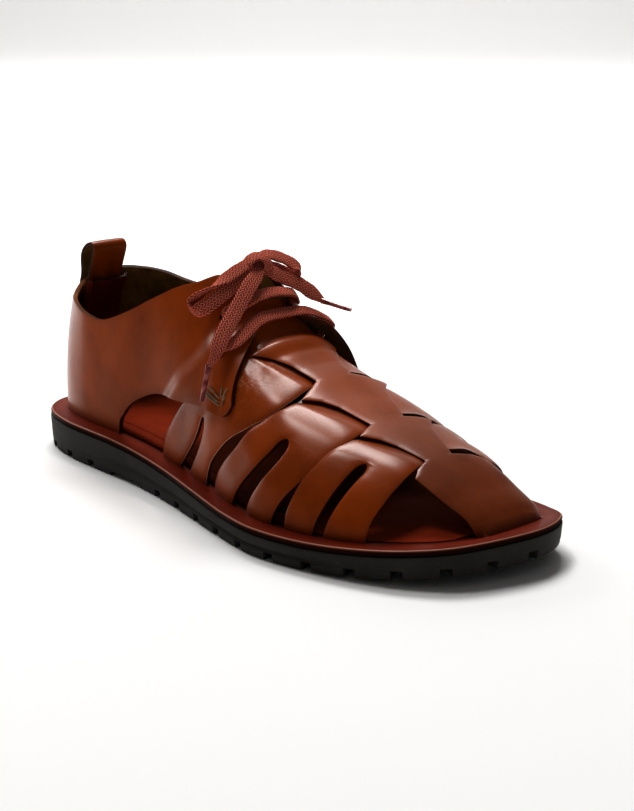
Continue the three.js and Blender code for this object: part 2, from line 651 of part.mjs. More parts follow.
// The table gives stations and heights of a face two walls over the last, so the facing's place
// on the last is worked back from it
function quarterPoint(share, side, v, layer) {
  const name = side < 0 ? 'outer' : 'inner';
  const bow = FACING_BOW * Math.sin(Math.PI * v) * ease(FACING_START, 0.955, share);
  const faceX = mix(quarterCurves.foot(share), quarterCurves.top(share), v) * LENGTH + bow;
  const low = quarterCurves.low(share) * ARCH_WINDOW_HEIGHT;
  const floor = section(faceX, side).floor;
  const faceZ = mix(Math.max(low, floor), quarterCurves[name](share) * COLLAR_HEIGHT, v);
  const up = upAtHeight(faceX, side, faceZ);
  const fit = ease(0.5, FACING_START, share);
  const under = fit > 0 ? placeUnder(faceX, faceZ, side, up) : { station: faceX, up };
  const station = mix(faceX, under.station, fit);
  return facePoint(station, side, mix(up, under.up, fit), share, v, layer);
}

function facePoint(station, side, up, share, v, layer) {
  const lift = quarterLift(station, side, up, share, v, side < 0 ? 'outer' : 'inner');
  return overLast(station, side, up, lift + layer * WALL);
}

function placeUnder(faceX, faceZ, side, startUp) {
  const face = (station, up) => overLast(station, side, up, 2 * WALL);
  const stationStep = 0.2;
  const upStep = 0.004;
  let station = faceX - WALL;
  let up = Math.min(startUp, 0.9);
  for (let i = 0; i < 12; i += 1) {
    const here = face(station, up);
    const ahead = face(station + stationStep, up).sub(here).divideScalar(stationStep);
    const higher = face(station, up + upStep).sub(here).divideScalar(upStep);
    const spread = ahead.x * higher.z - ahead.z * higher.x;
    const missX = faceX - here.x;
    const missZ = faceZ - here.z;
    station += clamp((missX * higher.z - missZ * higher.x) / spread, -2, 2);
    up = clamp(up + clamp((missZ * ahead.x - missX * ahead.z) / spread, -0.06, 0.06), 0.02, 0.97);
  }
  return { station, up };
}

// The quarter lies on the last, rises over the first band and is held to it at its lower corner
function quarterLift(station, side, up, share, v, name) {
  const back = bandBack(up);
  const cover = ease(back - 0.05, back - 0.015, station / LENGTH);
  const layers = mix(1, 2, ease(0.3, 0.6, up)) * WALL;
  const held = (1 - ease(0.40, 0.47, up)) * ease(0.525, 0.545, station / LENGTH);
  const rest = mix(GAP + SEAM_PLAY, -FUSE, held);
  const flare = FACING_FLARE[name] * Math.sin(Math.PI * v) * ease(0.82, 1, share);
  return cover * (layers + rest) + flare;
}

// The folds that the quarter is made through: round the heel there is one between each two rows
const HEEL_ROWS = QUARTER.filter((row) => row.low === 0).length - 1;
const heelFolds = Array.from({ length: 2 * HEEL_ROWS }, (none, i) => i / 2);
const sideFolds = QUARTER.map((row, i) => i).slice(HEEL_ROWS);
const quarterFolds = [...heelFolds, ...sideFolds].map((fold) => fold / (QUARTER.length - 1));

// Walks over both sides: u 0 is the last outer fold, 0.5 the heel and 1 the last inner fold
function foldAt(u, folds) {
  const side = u < 0.5 ? SIDES.outer : SIDES.inner;
  const share = folds[Math.round(Math.abs(2 * u - 1) * (folds.length - 1))];
  return { side, share };
}

function quarterSolid() {
  const rows = 9;
  return sheet(2 * (quarterFolds.length - 1), rows, (u, v, w) => {
    const { side, share } = foldAt(u, quarterFolds);
    const onFoot = quarterCurves.low(share) < 0.01;
    const step = onFoot ? clamp(v * rows - 1, 0, rows - 1) / (rows - 1) : v;
    const point = quarterPoint(share, side, step, w);
    if (onFoot && v === 0) point.z -= SEAT_DEPTH;
    return point;
  });
}

function rodBetween(from, to, diameter) {
  const length = from.distanceTo(to);
  const geometry = new THREE.CylinderGeometry(diameter / 2, diameter / 2, length, 12);
  geometry.rotateX(Math.PI / 2);
  const matrix = new THREE.Matrix4().lookAt(to, from, new THREE.Vector3(0, 0, 1));
  const middle = from.clone().add(to).multiplyScalar(0.5);
  matrix.setPosition(middle);
  geometry.applyMatrix4(matrix);
  return solidOf(geometry);
}

function eyeletAxis(eyelet, side) {
  const inside = quarterPoint(eyelet.fold, side, eyelet.height, -0.8);
  const outside = quarterPoint(eyelet.fold, side, eyelet.height, 1.8);
  return [inside, outside];
}

function upperSolid() {
  let upper = centreStrapSolid();
  for (const side of Object.values(SIDES)) {
    for (const name of Object.keys(BANDS)) upper = upper.add(bandSolid(name, side));
  }
  upper = upper.add(quarterSolid());
  for (const side of Object.values(SIDES)) {
    for (const eyelet of EYELETS) {
      const [inside, outside] = eyeletAxis(eyelet, side);
      upper = upper.subtract(rodBetween(inside, outside, EYELET));
    }
  }
  return wholeBody(upper.simplify(FACET_TOLERANCE));
}

// Layers that lie on each other can shut in or cut off a sliver, which is left out
function wholeBody(solid) {
  return wasm.Manifold.union(solid.decompose().filter((body) => body.volume() > SLIVER));
}

// Footbed: the leather layer, with a slot for the quarter, for each leg and for the toe strap
function footbedSolid() {
  const bottom = (x) => footbedHeight(x) - LEATHER_SOLE;
  const layer = soleLayer({
    steps: 44, across: 4, topInset: 0, bottomInset: 0, top: footbedHeight, bottom,
  });
  const slots = [quarterSlot(), toeSlot(-GAP - TOE_SLANT, WALL + GAP)];
  for (const side of Object.values(SIDES)) {
    for (const name of Object.keys(BANDS)) {
      const { from, to } = SLITS[name];
      const foot = BANDS[name][0];
      slots.push(legSlot(foot.back * LENGTH, from * LENGTH, side));
      slots.push(legSlot(to * LENGTH, foot.front * LENGTH, side));
    }
  }
  return layer.subtract(wasm.Manifold.union(slots)).simplify(SOLE_TOLERANCE);
}

function slotSheet(columns, place) {
  return sheet(columns, 1, (u, v, w) => {
    const point = place(u, mix(-GAP, WALL + GAP, w));
    point.z += v === 0 ? -2 * LEATHER_SOLE : LEATHER_SOLE;
    return point;
  });
}

function legSlot(back, front, side) {
  return slotSheet(6, (u, lift) => (
    overLast(mix(back - SLOT_END, front + SLOT_END, u), side, 0, lift)));
}

function quarterSlot() {
  const folds = quarterFolds.slice(0, 2 * HEEL_ROWS + 1);
  return slotSheet(2 * (folds.length - 1), (u, lift) => {
    const { side, share } = foldAt(u, folds);
    const past = u === 0 || u === 1 ? SLOT_END : 0;
    return overLast(quarterCurves.foot(share) * LENGTH + past, side, 0, lift);
  });
}

function toeSlot(from, to) {
  const end = CENTRE_STRAP[CENTRE_STRAP.length - 1];
  return sheet(8, 1, (u, v, w) => {
    const half = u < 0.5 ? end.outer : end.inner;
    const across = (u - 0.5) * 2 * (half * BALL_WIDTH + SLOT_END);
    const point = toeEnd(across, mix(from, to, w));
    point.z += v === 0 ? -2 * LEATHER_SOLE : 2 * LEATHER_SOLE;
    return point;
  });
}

// The toe strap's end stands upright in its slot, square across the toe
function toeEnd(across, lift) {
  const end = CENTRE_STRAP[CENTRE_STRAP.length - 1];
  const x = end.at * LENGTH - TOE_END_BACK + lift - TOE_END_CURVE * (across / BALL_WIDTH) ** 2;
  return new THREE.Vector3(x, across, footbedHeight(x));
}

// Insole: a padded layer inside the ring of straps, higher along its middle
function insoleSolid() {
  const edge = FEATHER + WALL + INSOLE_PLAY;
  const bottom = (x) => footbedHeight(x) + GAP;
  const top = (x, w) => bottom(x) + INSOLE_THICKNESS + INSOLE_DOME * (1 - (2 * w - 1) ** 4);
  return soleLayer({
    steps: 32, across: 6, topInset: edge + INSOLE_ROUND, bottomInset: edge, top, bottom,
  }).subtract(toeSlot(-INSOLE_TOE_PLAY, FEATHER)).simplify(SOLE_TOLERANCE);
}

// The strip up the back of the heel: its eye is the pull loop and its end lies inside the quarter
function heelPoint(across, height, lift) {
  const side = across < 0 ? SIDES.outer : SIDES.inner;
  const up = upAtHeight(0, side, height);
  const centre = new THREE.Vector3(HEEL_CENTRE, heelMiddle, 0);
  const radius = overLast(0, side, up, lift).setZ(0).distanceTo(centre);
  const station = Math.asin(clamp(Math.abs(across) / radius, 0, 1)) / (Math.PI / 2) * HEEL_CENTRE;
  return overLast(station, side, upAtHeight(station, side, height), lift);
}

function pullStripPath(across, v) {
  const outsideShare = 0.36;
  const eyeShare = 0.36;
  const top = COLLAR_HEIGHT + GAP;
  const outer = heelPoint(across, top, WALL + STRIP_GAP);
  const inner = heelPoint(across, top, -STRIP_GAP);
  if (v < outsideShare) {
    return heelPoint(across, mix(PULL_START, top, v / outsideShare), WALL + STRIP_GAP);
  }
  if (v > outsideShare + eyeShare) {
    const down = (v - outsideShare - eyeShare) / (1 - outsideShare - eyeShare);
    return heelPoint(across, mix(top, PULL_END, down), -STRIP_GAP);
  }
  const turn = (v - outsideShare) / eyeShare * Math.PI;
  const bend = Math.sin(turn);
  const inward = (1 - Math.cos(turn)) / 2;
  const point = outer.clone().lerp(inner, inward);
  const flat = mix(
    heelPoint(LOOP_WIDTH * 0.3, top, WALL + STRIP_GAP).x,
    heelPoint(LOOP_WIDTH * 0.3, top, -STRIP_GAP).x,
    inward,
  );
  point.x = mix(point.x, flat, Math.min(1, 1.6 * bend));
  point.x -= Math.cos(turn) * bend ** 0.5 * (LOOP_DEPTH / 2 - LOOP_THICKNESS);
  point.x += LOOP_LEAN * bend * bend;
  point.z += LOOP_RISE * bend ** 0.75;
  return point;
}

function pullStripSolid() {
  const rows = 28;
  const step = 0.004;
  return sheet(4, rows, (u, v, w) => {
    const across = (u - 0.5) * LOOP_WIDTH;
    const at = clamp(v, step, 1 - step);
    const along = pullStripPath(across, at + step).sub(pullStripPath(across, at - step));
    const outward = along.cross(new THREE.Vector3(0, 1, 0)).normalize();
    return pullStripPath(across, v).addScaledVector(outward, w * LOOP_THICKNESS);
  });
}

function heelLiningSolid() {
  const start = HEEL_HEIGHT + GAP + INSOLE_THICKNESS + INSOLE_DOME + GAP;
  const over = LOOP_THICKNESS + STRIP_GAP;
  return sheet(12, 8, (u, v, w) => {
    const across = (u - 0.5) * LINING_WIDTH;
    const height = mix(start, COLLAR_HEIGHT - 1, v);
    const beside = ease(LOOP_WIDTH / 2 + 0.4, LOOP_WIDTH / 2 + 2.2, Math.abs(across));
    const bulge = over * ease(PULL_END - LINING_BLEND, PULL_END - 1, height) * (1 - beside);
    return heelPoint(across, height, -GAP - bulge - w * LINING_THICKNESS);
  });
}

// Middle of each lace bar between the facings, by hand
const BAR_MIDDLE = {
  lower: [[156.8, -17.5, 83.2], [155.6, -4, 84.2], [156.8, 10, 83.4]],
  upper: [[151, -14.5, 91.8], [151, -5, 93], [151.6, 5, 91.6]],
};

// Lace bars: each lies over both facings, with an end down through each eyelet
function laceBarSolid(eyelet, middle) {
  const clear = (GAP + LACE_THICKNESS / 2 + BAR_PLAY) / WALL;
  const folds = [eyelet.fold - 0.012, 0.937];
  const half = (side) => folds.map((fold, i) => (
    quarterPoint(fold, side, eyelet.height + BAR_CLIMB * i, 1 + clear)));
  const near = half(SIDES.outer);
  const far = half(SIDES.inner).reverse();
  const between = middle.map((point) => new THREE.Vector3(...point));
  const path = new THREE.CatmullRomCurve3([...near, ...between, ...far]);
  const edge = (side) => quarterPoint(0.955, side, eyelet.height + 0.15, 1)
    .sub(quarterPoint(0.955, side, eyelet.height, 1)).normalize();
  const nearEdge = edge(SIDES.outer);
  const farEdge = edge(SIDES.inner);
  const bar = sheet(2, BAR_ROWS, (u, v, w) => {
    const along = path.getTangentAt(v);
    const across = nearEdge.clone().lerp(farEdge, v);
    across.addScaledVector(along, -across.dot(along)).normalize();
    const normal = along.clone().cross(across).normalize();
    return path.getPointAt(v).addScaledVector(across, (u - 0.5) * LACE_WIDTH)
      .addScaledVector(normal, (w - 0.5) * LACE_THICKNESS);
  });
  const pegs = Object.values(SIDES).map((side) => {
    const inside = quarterPoint(eyelet.fold, side, eyelet.height, -0.25);
    const outside = quarterPoint(eyelet.fold, side, eyelet.height, 1 + clear);
    return rodBetween(inside, outside, EYELET - 1.2);
  });
  return wasm.Manifold.union([bar, ...pegs]);
}

// Bow, by hand: points from the heel end of the sole
const KNOT = { middle: [142, -5.5, 103.6], size: [10, 9, 7] };
const BOW = {
  lace_loop_outer: [
    [142.7, -10.3, 101.7], [143.5, -18, 97.3], [142.3, -27.5, 92], [139.6, -33, 88], [136, -36.5, 86.4],
    [133.8, -36.5, 89.2], [135.4, -33.5, 92], [137.7, -28, 95.2], [140.4, -21.5, 99.2],
    [141.6, -15, 102.6], [141, -10.8, 105.8],
  ],
  lace_loop_inner: [
    [139.8, -0.4, 105.6], [139.2, 5, 105.9], [142.4, 10, 103.9], [145.8, 13.5, 100.8],
    [147.5, 14, 98], [145.2, 12, 96.7], [143.6, 8.5, 99], [142.6, 3.5, 101.2], [142.6, 0.2, 102.4],
  ],
  lace_end_outer: [
    [146.2, -8.3, 101], [149.4, -16.5, 96.2], [152.6, -27, 87], [155.4, -36, 79.4],
    [157.9, -42.7, 71.5], [155.9, -44.7, 66.8],
  ],
  lace_end_inner: [
    [144.4, -1.6, 100.2], [146.2, 4.6, 97.3], [150.8, 11.2, 93.8], [155.2, 16.2, 89], [158.4, 18.5, 86.3],
  ],
};
const TIP_DIRECTION = {
  lace_end_outer: [2, -5.6, -13.5],
  lace_end_inner: [15.1, 2.5, -2],
};

function cordCurve(name) {
  return new THREE.CatmullRomCurve3(BOW[name].map((point) => new THREE.Vector3(...point)));
}

function cordSolid(name) {
  const sides = 8;
  const shape = new THREE.Shape();
  for (let i = 0; i < sides; i += 1) {
    const turn = i / sides * 2 * Math.PI;
    const x = Math.cos(turn) * LACE_CORD / 2;
    const y = Math.sin(turn) * LACE_CORD / 2;
    if (i === 0) shape.moveTo(x, y);
    else shape.lineTo(x, y);
  }
  shape.closePath();
  const curve = cordCurve(name);
  const steps = Math.max(4, Math.round(curve.getLength() / (2.2 * LACE_CORD)));
  return solidOf(new THREE.ExtrudeGeometry(shape, { steps, extrudePath: curve }));
}

function knotSolid() {
  const ball = new THREE.SphereGeometry(0.5, 12, 8);
  ball.scale(...KNOT.size);
  ball.translate(...KNOT.middle);
  return solidOf(ball);
}

function tipSolid(name) {
  const points = BOW[name];
  const end = new THREE.Vector3(...points[points.length - 1]);
  const direction = new THREE.Vector3(...TIP_DIRECTION[name]).normalize();
  const from = end.clone().addScaledVector(direction, TIP_GAP);
  return rodBetween(from, from.clone().addScaledVector(direction, TIP_LENGTH), TIP_DIAMETER);
}

// Colours and finishes from the photo
const CHESTNUT = { color: 0x7a3014, roughness: 0.32, metalness: 0 };
const FOOTBED_BROWN = { color: 0x7d2f1a, roughness: 0.45, metalness: 0 };
const INSOLE_RED = { color: 0x8e3519, roughness: 0.5, metalness: 0 };
const CHARCOAL = { color: 0x2b2827, roughness: 0.8, metalness: 0 };
const LINING_BROWN = { color: 0x3c1a10, roughness: 0.5, metalness: 0 };
const BRICK = { color: 0x9c463a, roughness: 0.85, metalness: 0 };
const TIP_BROWN = { color: 0x6e2f33, roughness: 0.3, metalness: 0 };

function meshOf(name, solid, finish) {
  const found = solid.getMesh();
  const geometry = new THREE.BufferGeometry();
  const values = found.vertProperties;
  geometry.setAttribute('position', new THREE.BufferAttribute(new Float32Array(values), 3));
  geometry.setIndex(new THREE.BufferAttribute(new Uint32Array(found.triVerts), 1));
  geometry.computeVertexNormals();
  const mesh = new THREE.Mesh(geometry, new THREE.MeshStandardMaterial(finish));
  mesh.name = name;
  return mesh;
}

const sandal = new THREE.Group();
sandal.add(meshOf('outsole', outsoleSolid(), CHARCOAL));
sandal.add(meshOf('footbed', footbedSolid(), FOOTBED_BROWN));
sandal.add(meshOf('insole', insoleSolid(), INSOLE_RED));
sandal.add(meshOf('upper', upperSolid(), CHESTNUT));
sandal.add(meshOf('pull_strip', pullStripSolid(), CHESTNUT));
sandal.add(meshOf('heel_lining', heelLiningSolid(), LINING_BROWN));
sandal.add(meshOf('lace_bar_lower', laceBarSolid(EYELETS[0], BAR_MIDDLE.lower), BRICK));
sandal.add(meshOf('lace_bar_upper', laceBarSolid(EYELETS[1], BAR_MIDDLE.upper), BRICK));
sandal.add(meshOf('lace_knot', knotSolid(), BRICK));
for (const name of Object.keys(BOW)) sandal.add(meshOf(name, cordSolid(name), BRICK));
for (const name of Object.keys(TIP_DIRECTION)) {
  sandal.add(meshOf(name.replace('end', 'tip'), tipSolid(name), TIP_BROWN));
}
sandal.position.x = -HEEL_CENTRE;

const group = new THREE.Group();
group.add(sandal);
export default group;
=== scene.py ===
import math

import bmesh
import bpy
import numpy as np
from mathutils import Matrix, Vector


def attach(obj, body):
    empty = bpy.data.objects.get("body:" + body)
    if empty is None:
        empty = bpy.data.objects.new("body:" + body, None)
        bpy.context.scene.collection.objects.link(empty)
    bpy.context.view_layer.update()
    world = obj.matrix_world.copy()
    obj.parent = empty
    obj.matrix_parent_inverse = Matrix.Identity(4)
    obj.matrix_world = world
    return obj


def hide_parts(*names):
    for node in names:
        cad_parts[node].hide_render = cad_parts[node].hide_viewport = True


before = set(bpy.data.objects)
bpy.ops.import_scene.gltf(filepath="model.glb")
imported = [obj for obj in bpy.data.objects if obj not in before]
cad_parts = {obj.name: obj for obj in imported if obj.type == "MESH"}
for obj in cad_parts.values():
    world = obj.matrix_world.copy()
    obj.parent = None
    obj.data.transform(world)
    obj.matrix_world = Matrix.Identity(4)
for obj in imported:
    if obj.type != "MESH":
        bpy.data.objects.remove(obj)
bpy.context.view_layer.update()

# Sizes in millimetres, from the back of the heel to the toe along x
LENGTH = 298
BALL_WIDTH = 113
HEEL_HEIGHT = 18
BALL_HEIGHT = 12.1
TOE_SPRING = 6.5
INSTEP = 106
COLLAR_HEIGHT = 83
ARCH_WINDOW_HEIGHT = 45
HEEL_CENTRE = 45
WALL = 2.2
FEATHER = 8.5
LEATHER_SOLE = 2.5
SEAT_DEPTH = 2
SPRING_START = 0.725
SIDES = {-1: "outer", 1: "inner"}
MM = 1000

scene = bpy.context.scene


# Objects and the camera
def put(name, data, place=(0, 0, 0), aim=None):
    """A new object in the scene, turned to look at a point where one is given."""
    made = bpy.data.objects.new(name, data)
    scene.collection.objects.link(made)
    made.location = place
    if aim:
        made.rotation_euler = (Vector(aim) - Vector(place)).to_track_quat("-Z", "Y").to_euler()
    return made


def place_camera():
    """The photo's own place, turned so that the one shoe fills the frame."""
    data = bpy.data.cameras.new("camera")
    data.sensor_fit = "HORIZONTAL"
    data.sensor_width = 36
    data.lens = 104
    data.clip_start = 0.01
    data.clip_end = 50
    scene.camera = put("camera", data, (0.693, -0.5159, 0.2498), (0.112, 0.016, 0.039))


place_camera()


# Curves through tables
def table(names, *rows):
    """Columns by name, from rows in thousandths."""
    return dict(zip(names.split(), np.array(rows, float).T / 1000))


def smooth_column(rows, column):
    """A smooth curve through a column that never overshoots its rows."""
    x, y = rows["at"], rows[column]
    step, slope = np.diff(x), np.diff(y) / np.diff(x)
    tangent = np.r_[slope[0], 0 * slope[1:], slope[-1]]
    for i in range(1, len(x) - 1):
        if slope[i - 1] * slope[i] > 0:
            first, second = 2 * step[i] + step[i - 1], step[i] + 2 * step[i - 1]
            tangent[i] = (first + second) / (first / slope[i - 1] + second / slope[i])

    def value(at):
        at = np.clip(at, x[0], x[-1])
        i = np.clip(np.searchsorted(x, at) - 1, 0, len(x) - 2)
        t = (at - x[i]) / step[i]
        return ((2 * t**3 - 3 * t**2 + 1) * y[i] + (3 * t**2 - 2 * t**3) * y[i + 1]
                + (t**3 - 2 * t**2 + t) * step[i] * tangent[i]
                + (t**3 - t**2) * step[i] * tangent[i + 1])

    return value


def numbered(rows, column):
    """The same for rows at even places from 0 to 1."""
    return smooth_column(dict(rows, at=np.linspace(0, 1, len(rows[column]))), column)


def spline(before, start, end, after, t):
    """A point of a smooth line between start and end, and the way that the line goes there."""
    a, b = (end - before) / 2, (after - start) / 2
    c, d = 2 * (start - end) + a + b, 3 * (end - start) - 2 * a - b
    return ((c * t + d) * t + a) * t + start, (3 * c * t + 2 * d) * t + a


def unit(ways):
    return ways / np.linalg.norm(ways, axis=-1, keepdims=True)


def ease(start, end, value):
    t = np.clip((value - start) / (end - start), 0, 1)
    return t * t * (3 - 2 * t)


def mix(start, end, share):
    return start + (end - start) * share


def hump(middle, width, value):
    return np.exp(-(((value - middle) / width) ** 2))


def waves(x, y, size, seed):
    """Soft, low unevenness for leather that has been pulled over a last."""
    found, count = 0, 5
    local = np.random.default_rng(seed)
    for _ in range(count):
        turn, phase = local.uniform(0, 2 * math.pi, 2)
        length = size * local.uniform(0.7, 1.5)
        found = found + np.sin((x * math.cos(turn) + y * math.sin(turn)) * 2 * math.pi / length + phase)
    return found / count


# Sole outline and last
SOLE_OUTLINE = table("at outer inner",
    (12, 159, 150), (54, 270, 257), (128, 333, 310), (221, 357, 305), (319, 373, 281), (416, 414, 279),
    (510, 473, 323), (597, 529, 385), (681, 570, 427), (765, 549, 432), (846, 489, 401), (919, 389, 341),
    (970, 239, 257))
OUTLINE_ENDS = ((0, -0.009), (0.997, 0.053))
LAST = table("at rise shift round",
    (0, 722, -9, 2500), (74, 840, -9, 2500), (151, 1000, -13, 2500), (252, 1010, -18, 2400),
    (336, 985, -22, 2300), (403, 915, -27, 2200), (443, 837, -27, 2200), (477, 738, -27, 2300),
    (503, 639, -27, 2500), (527, 567, -27, 2800), (570, 500, -27, 2800), (624, 440, -27, 2800),
    (678, 381, -27, 2800), (734, 326, -27, 2700), (785, 276, -27, 2600), (836, 227, -22, 2500),
    (879, 172, -18, 2400), (913, 114, -9, 2300), (936, 64, 0, 2200), (953, 16, 0, 2200), (961, 0, 0, 2200))


def half_outline(side):
    rows = np.stack([SOLE_OUTLINE["at"] * LENGTH, side * SOLE_OUTLINE[SIDES[side]] * BALL_WIDTH], 1)
    heel, toe = np.array(OUTLINE_ENDS) * [LENGTH, BALL_WIDTH]
    return np.vstack([heel, rows, toe])


CORNERS = np.vstack([half_outline(-1), half_outline(1)[1:-1][::-1]])


def outline(share, side, inset):
    """The sole's edge from the heel (share 0) to the toe (share 1), moved in by inset."""
    half = np.clip(share, 0, 1) / 2
    at = np.where(side < 0, half, (1 - half) % 1) * len(CORNERS)
    i = np.floor(at).astype(int)
    corners = [CORNERS[(i + k) % len(CORNERS)] for k in (-1, 0, 1, 2)]
    point, way = spline(*corners, (at - i)[..., None])
    way = unit(way)
    return point[..., 0] - way[..., 1] * inset, point[..., 1] + way[..., 0] * inset


def toe_spring(x):
    """How far the sole rises from the floor."""
    share = np.clip((x / LENGTH - SPRING_START) / (1 - SPRING_START), 0, 1.1)
    return TOE_SPRING * share**2


def footbed_height(x):
    pitch = np.clip((x / LENGTH - 0.25) / 0.35, 0, 1)
    return mix(HEEL_HEIGHT, BALL_HEIGHT, pitch) + toe_spring(x)


last_rise, last_shift, last_round = [smooth_column(LAST, name) for name in ("rise", "shift", "round")]
heel_middle = float(last_shift(HEEL_CENTRE / LENGTH)) * BALL_WIDTH
base_line = {side: np.stack(outline(np.linspace(0, 1, 400), side, FEATHER + WALL), 1) for side in SIDES}
heel_ray = {}
for side in SIDES:
    x, y = base_line[side].T
    angle = np.arctan2(HEEL_CENTRE - x, side * (y - heel_middle))
    near = x < HEEL_CENTRE + 4
    order = np.argsort(angle[near])
    heel_ray[side] = (angle[near][order], np.hypot(x - HEEL_CENTRE, y - heel_middle)[near][order])


def section(station, side):
    """The last's section: behind the heel centre the sections fan round it."""
    station, side = np.broadcast_arrays(station, side)
    share = np.clip(station / LENGTH, 0, LAST["at"][-1])
    fan = np.clip(1 - station / HEEL_CENTRE, 0, 1) * math.pi / 2
    x = np.maximum(station, HEEL_CENTRE)
    in_fan = station < HEEL_CENTRE
    y = np.where(in_fan, heel_middle, last_shift(share) * BALL_WIDTH)
    outer, inner = [np.where(in_fan, np.interp(fan, *heel_ray[way]),
                             np.abs(np.interp(x, *base_line[way][20:].T) - y)) for way in SIDES]
    half = np.where(side < 0, outer, inner)
    out_x, out_y = -np.sin(fan), side * np.cos(fan)
    floor = footbed_height(x + out_x * half)
    return x, y, out_x, out_y, half, floor, last_rise(share) * INSTEP, last_round(share)


def section_point(station, side, angle):
    x, y, out_x, out_y, half, floor, rise, roundness = section(station, side)
    out = half * np.maximum(np.cos(angle), 0) ** (2 / roundness)
    up = rise * np.maximum(np.sin(angle), 0) ** (2 / roundness)
    return np.stack([x + out_x * out, y + out_y * out, floor + up], -1)


def over_last(station, side, up, lift):
    """A point over the last: up is 0 at the footbed and 1 on the ridge, lift is along the normal."""
    station, side, up, lift = np.broadcast_arrays(station, side, up, lift)
    angle, step, turn = np.clip(up, 0, 1) * math.pi / 2, 0.7, 0.004
    ahead = (section_point(station + step, side, angle)
             - section_point(np.maximum(station - step, 0), side, angle))
    higher = (section_point(station, side, np.minimum(angle + turn, math.pi / 2))
              - section_point(station, side, np.maximum(angle - turn, 0)))
    normal = np.cross(ahead, higher) * -side[..., None]
    normal[..., 2] = np.where(up <= 0, 0, normal[..., 2])
    normal /= np.maximum(np.linalg.norm(normal, axis=-1, keepdims=True), 1e-9)
    return section_point(station, side, angle) + normal * lift[..., None]


def up_at_height(station, side, height):
    *_, floor, rise, roundness = section(station, side)
    share = np.clip((height - floor) / np.maximum(rise, 1e-6), 0, 1)
    return np.arcsin(share ** (roundness / 2)) / (math.pi / 2)


def up_across(station, across):
    side = np.where(across < 0, -1, 1)
    *_, half, _, _, roundness = section(station, side)
    share = np.clip(np.abs(across) / np.maximum(half, 1e-6), 0, 1)
    return side, np.arccos(share ** (roundness / 2)) / (math.pi / 2)


# Meshes
def to_frame(points):
    return (np.asarray(points, float) - [HEEL_CENTRE, 0, 0]) / MM


def new_object(name, points, faces, materials, uv=None, marks=None):
    """A mesh in the part's frame; marks are numbers that its materials read."""
    mesh = bpy.data.meshes.new(name)
    mesh.from_pydata(to_frame(points).reshape(-1, 3).tolist(), [], faces)
    for material in materials:
        mesh.materials.append(material)
    for key, values in (marks or {}).items():
        layer = mesh.attributes.new(key, "FLOAT", "POINT")
        values = np.broadcast_to(values, np.shape(points)[:-1])
        layer.data.foreach_set("value", values.astype(np.float32).ravel())
    if uv is not None:
        corners = np.empty(len(mesh.loops), np.int64)
        mesh.loops.foreach_get("vertex_index", corners)
        mesh.uv_layers.new(name="UVMap").data.foreach_set("uv", uv[corners].ravel())
    return put(name, mesh)


def grid_faces(rows, columns, around=False, flip=False):
    """Faces of a grid of points; around joins the last column to the first."""
    j, i = np.mgrid[:rows - 1, :columns if around else columns - 1].reshape(2, -1)
    n = (i + 1) % columns
    faces = np.stack([j * columns + i, j * columns + n, (j + 1) * columns + n, (j + 1) * columns + i], 1)
    return (faces[:, ::-1] if flip else faces).tolist()


def baked(made, *modifiers):
    """Adds modifiers, each a type and its settings, keeps the shape that they give, and drops cutters."""
    for kind, settings in modifiers:
        modifier = made.modifiers.new(kind.lower(), kind)
        for key, value in settings.items():
            setattr(modifier, key, value)
    shape = bpy.data.meshes.new_from_object(made.evaluated_get(bpy.context.evaluated_depsgraph_get()))
    made.modifiers.clear()
    old, made.data = made.data, shape
    bpy.data.meshes.remove(old)
    for _, settings in modifiers:
        if "object" in settings:
            bpy.data.objects.remove(settings["object"])


def cuts(cutters):
    return [("BOOLEAN", dict(object=cutter, operation="DIFFERENCE", solver="EXACT")) for cutter in cutters]


def rounded(width, segments, degrees, **more):
    return "BEVEL", dict(width=width / MM, segments=segments, limit_method="ANGLE", use_clamp_overlap=True,
                         angle_limit=math.radians(degrees), **more)


def shade(made, degrees=180):
    """Smooth all over, but for edges that turn by more than degrees."""
    made.data.shade_smooth()
    if degrees < 180:
        made.data.set_sharp_from_angle(angle=math.radians(degrees))
    return made


def merged(made, distance):
    """Joins points that are closer than a distance, such as a row that runs into itself."""
    work = bmesh.new()
    work.from_mesh(made.data)
    bmesh.ops.remove_doubles(work, verts=work.verts, dist=distance / MM)
    bmesh.ops.dissolve_degenerate(work, edges=work.edges, dist=1e-6)
    work.to_mesh(made.data)
    work.free()


def solid(made, thickness=2, round_edge=0.8, cutters=(), even=True):
    """Gives a sheet its wall, cuts its holes and rounds its cut edges."""
    wall = dict(thickness=thickness / MM, offset=-1, use_even_offset=even, use_quality_normals=True,
                material_offset=1, material_offset_rim=2)
    # The rounded edge faces take the fourth finish, the burnished rim with its painted highlight line.
    baked(made, ("SOLIDIFY", wall), *cuts(cutters), rounded(round_edge, 2, 55, material=3))
    return shade(made, 60)


def leather(name, points, marks, materials=None, **settings):
    """A cut piece of leather: points are its outer face."""
    faces = grid_faces(*points.shape[:2], flip=True)
    return solid(new_object(name, points, faces, materials or LEATHER, marks=marks), **settings)


def tube(name, rings, ends, material, uv=None):
    """Rings of points, closed by a fan of triangles at each end."""
    rows, columns = rings.shape[:2]
    faces = grid_faces(rows, columns, around=True)
    first, top = rows * columns, (rows - 1) * columns
    for i in range(columns):
        n = (i + 1) % columns
        faces += [(first, n, i), (first + 1, top + i, top + n)]
    return new_object(name, np.vstack([rings.reshape(-1, 3), *ends]), faces, [material], uv=uv)


def fix(made, slot, *nodes):
    """Fixes a piece to the one body, in place of the solids that it shows."""
    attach(made, "root")
    if nodes:
        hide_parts(*nodes)


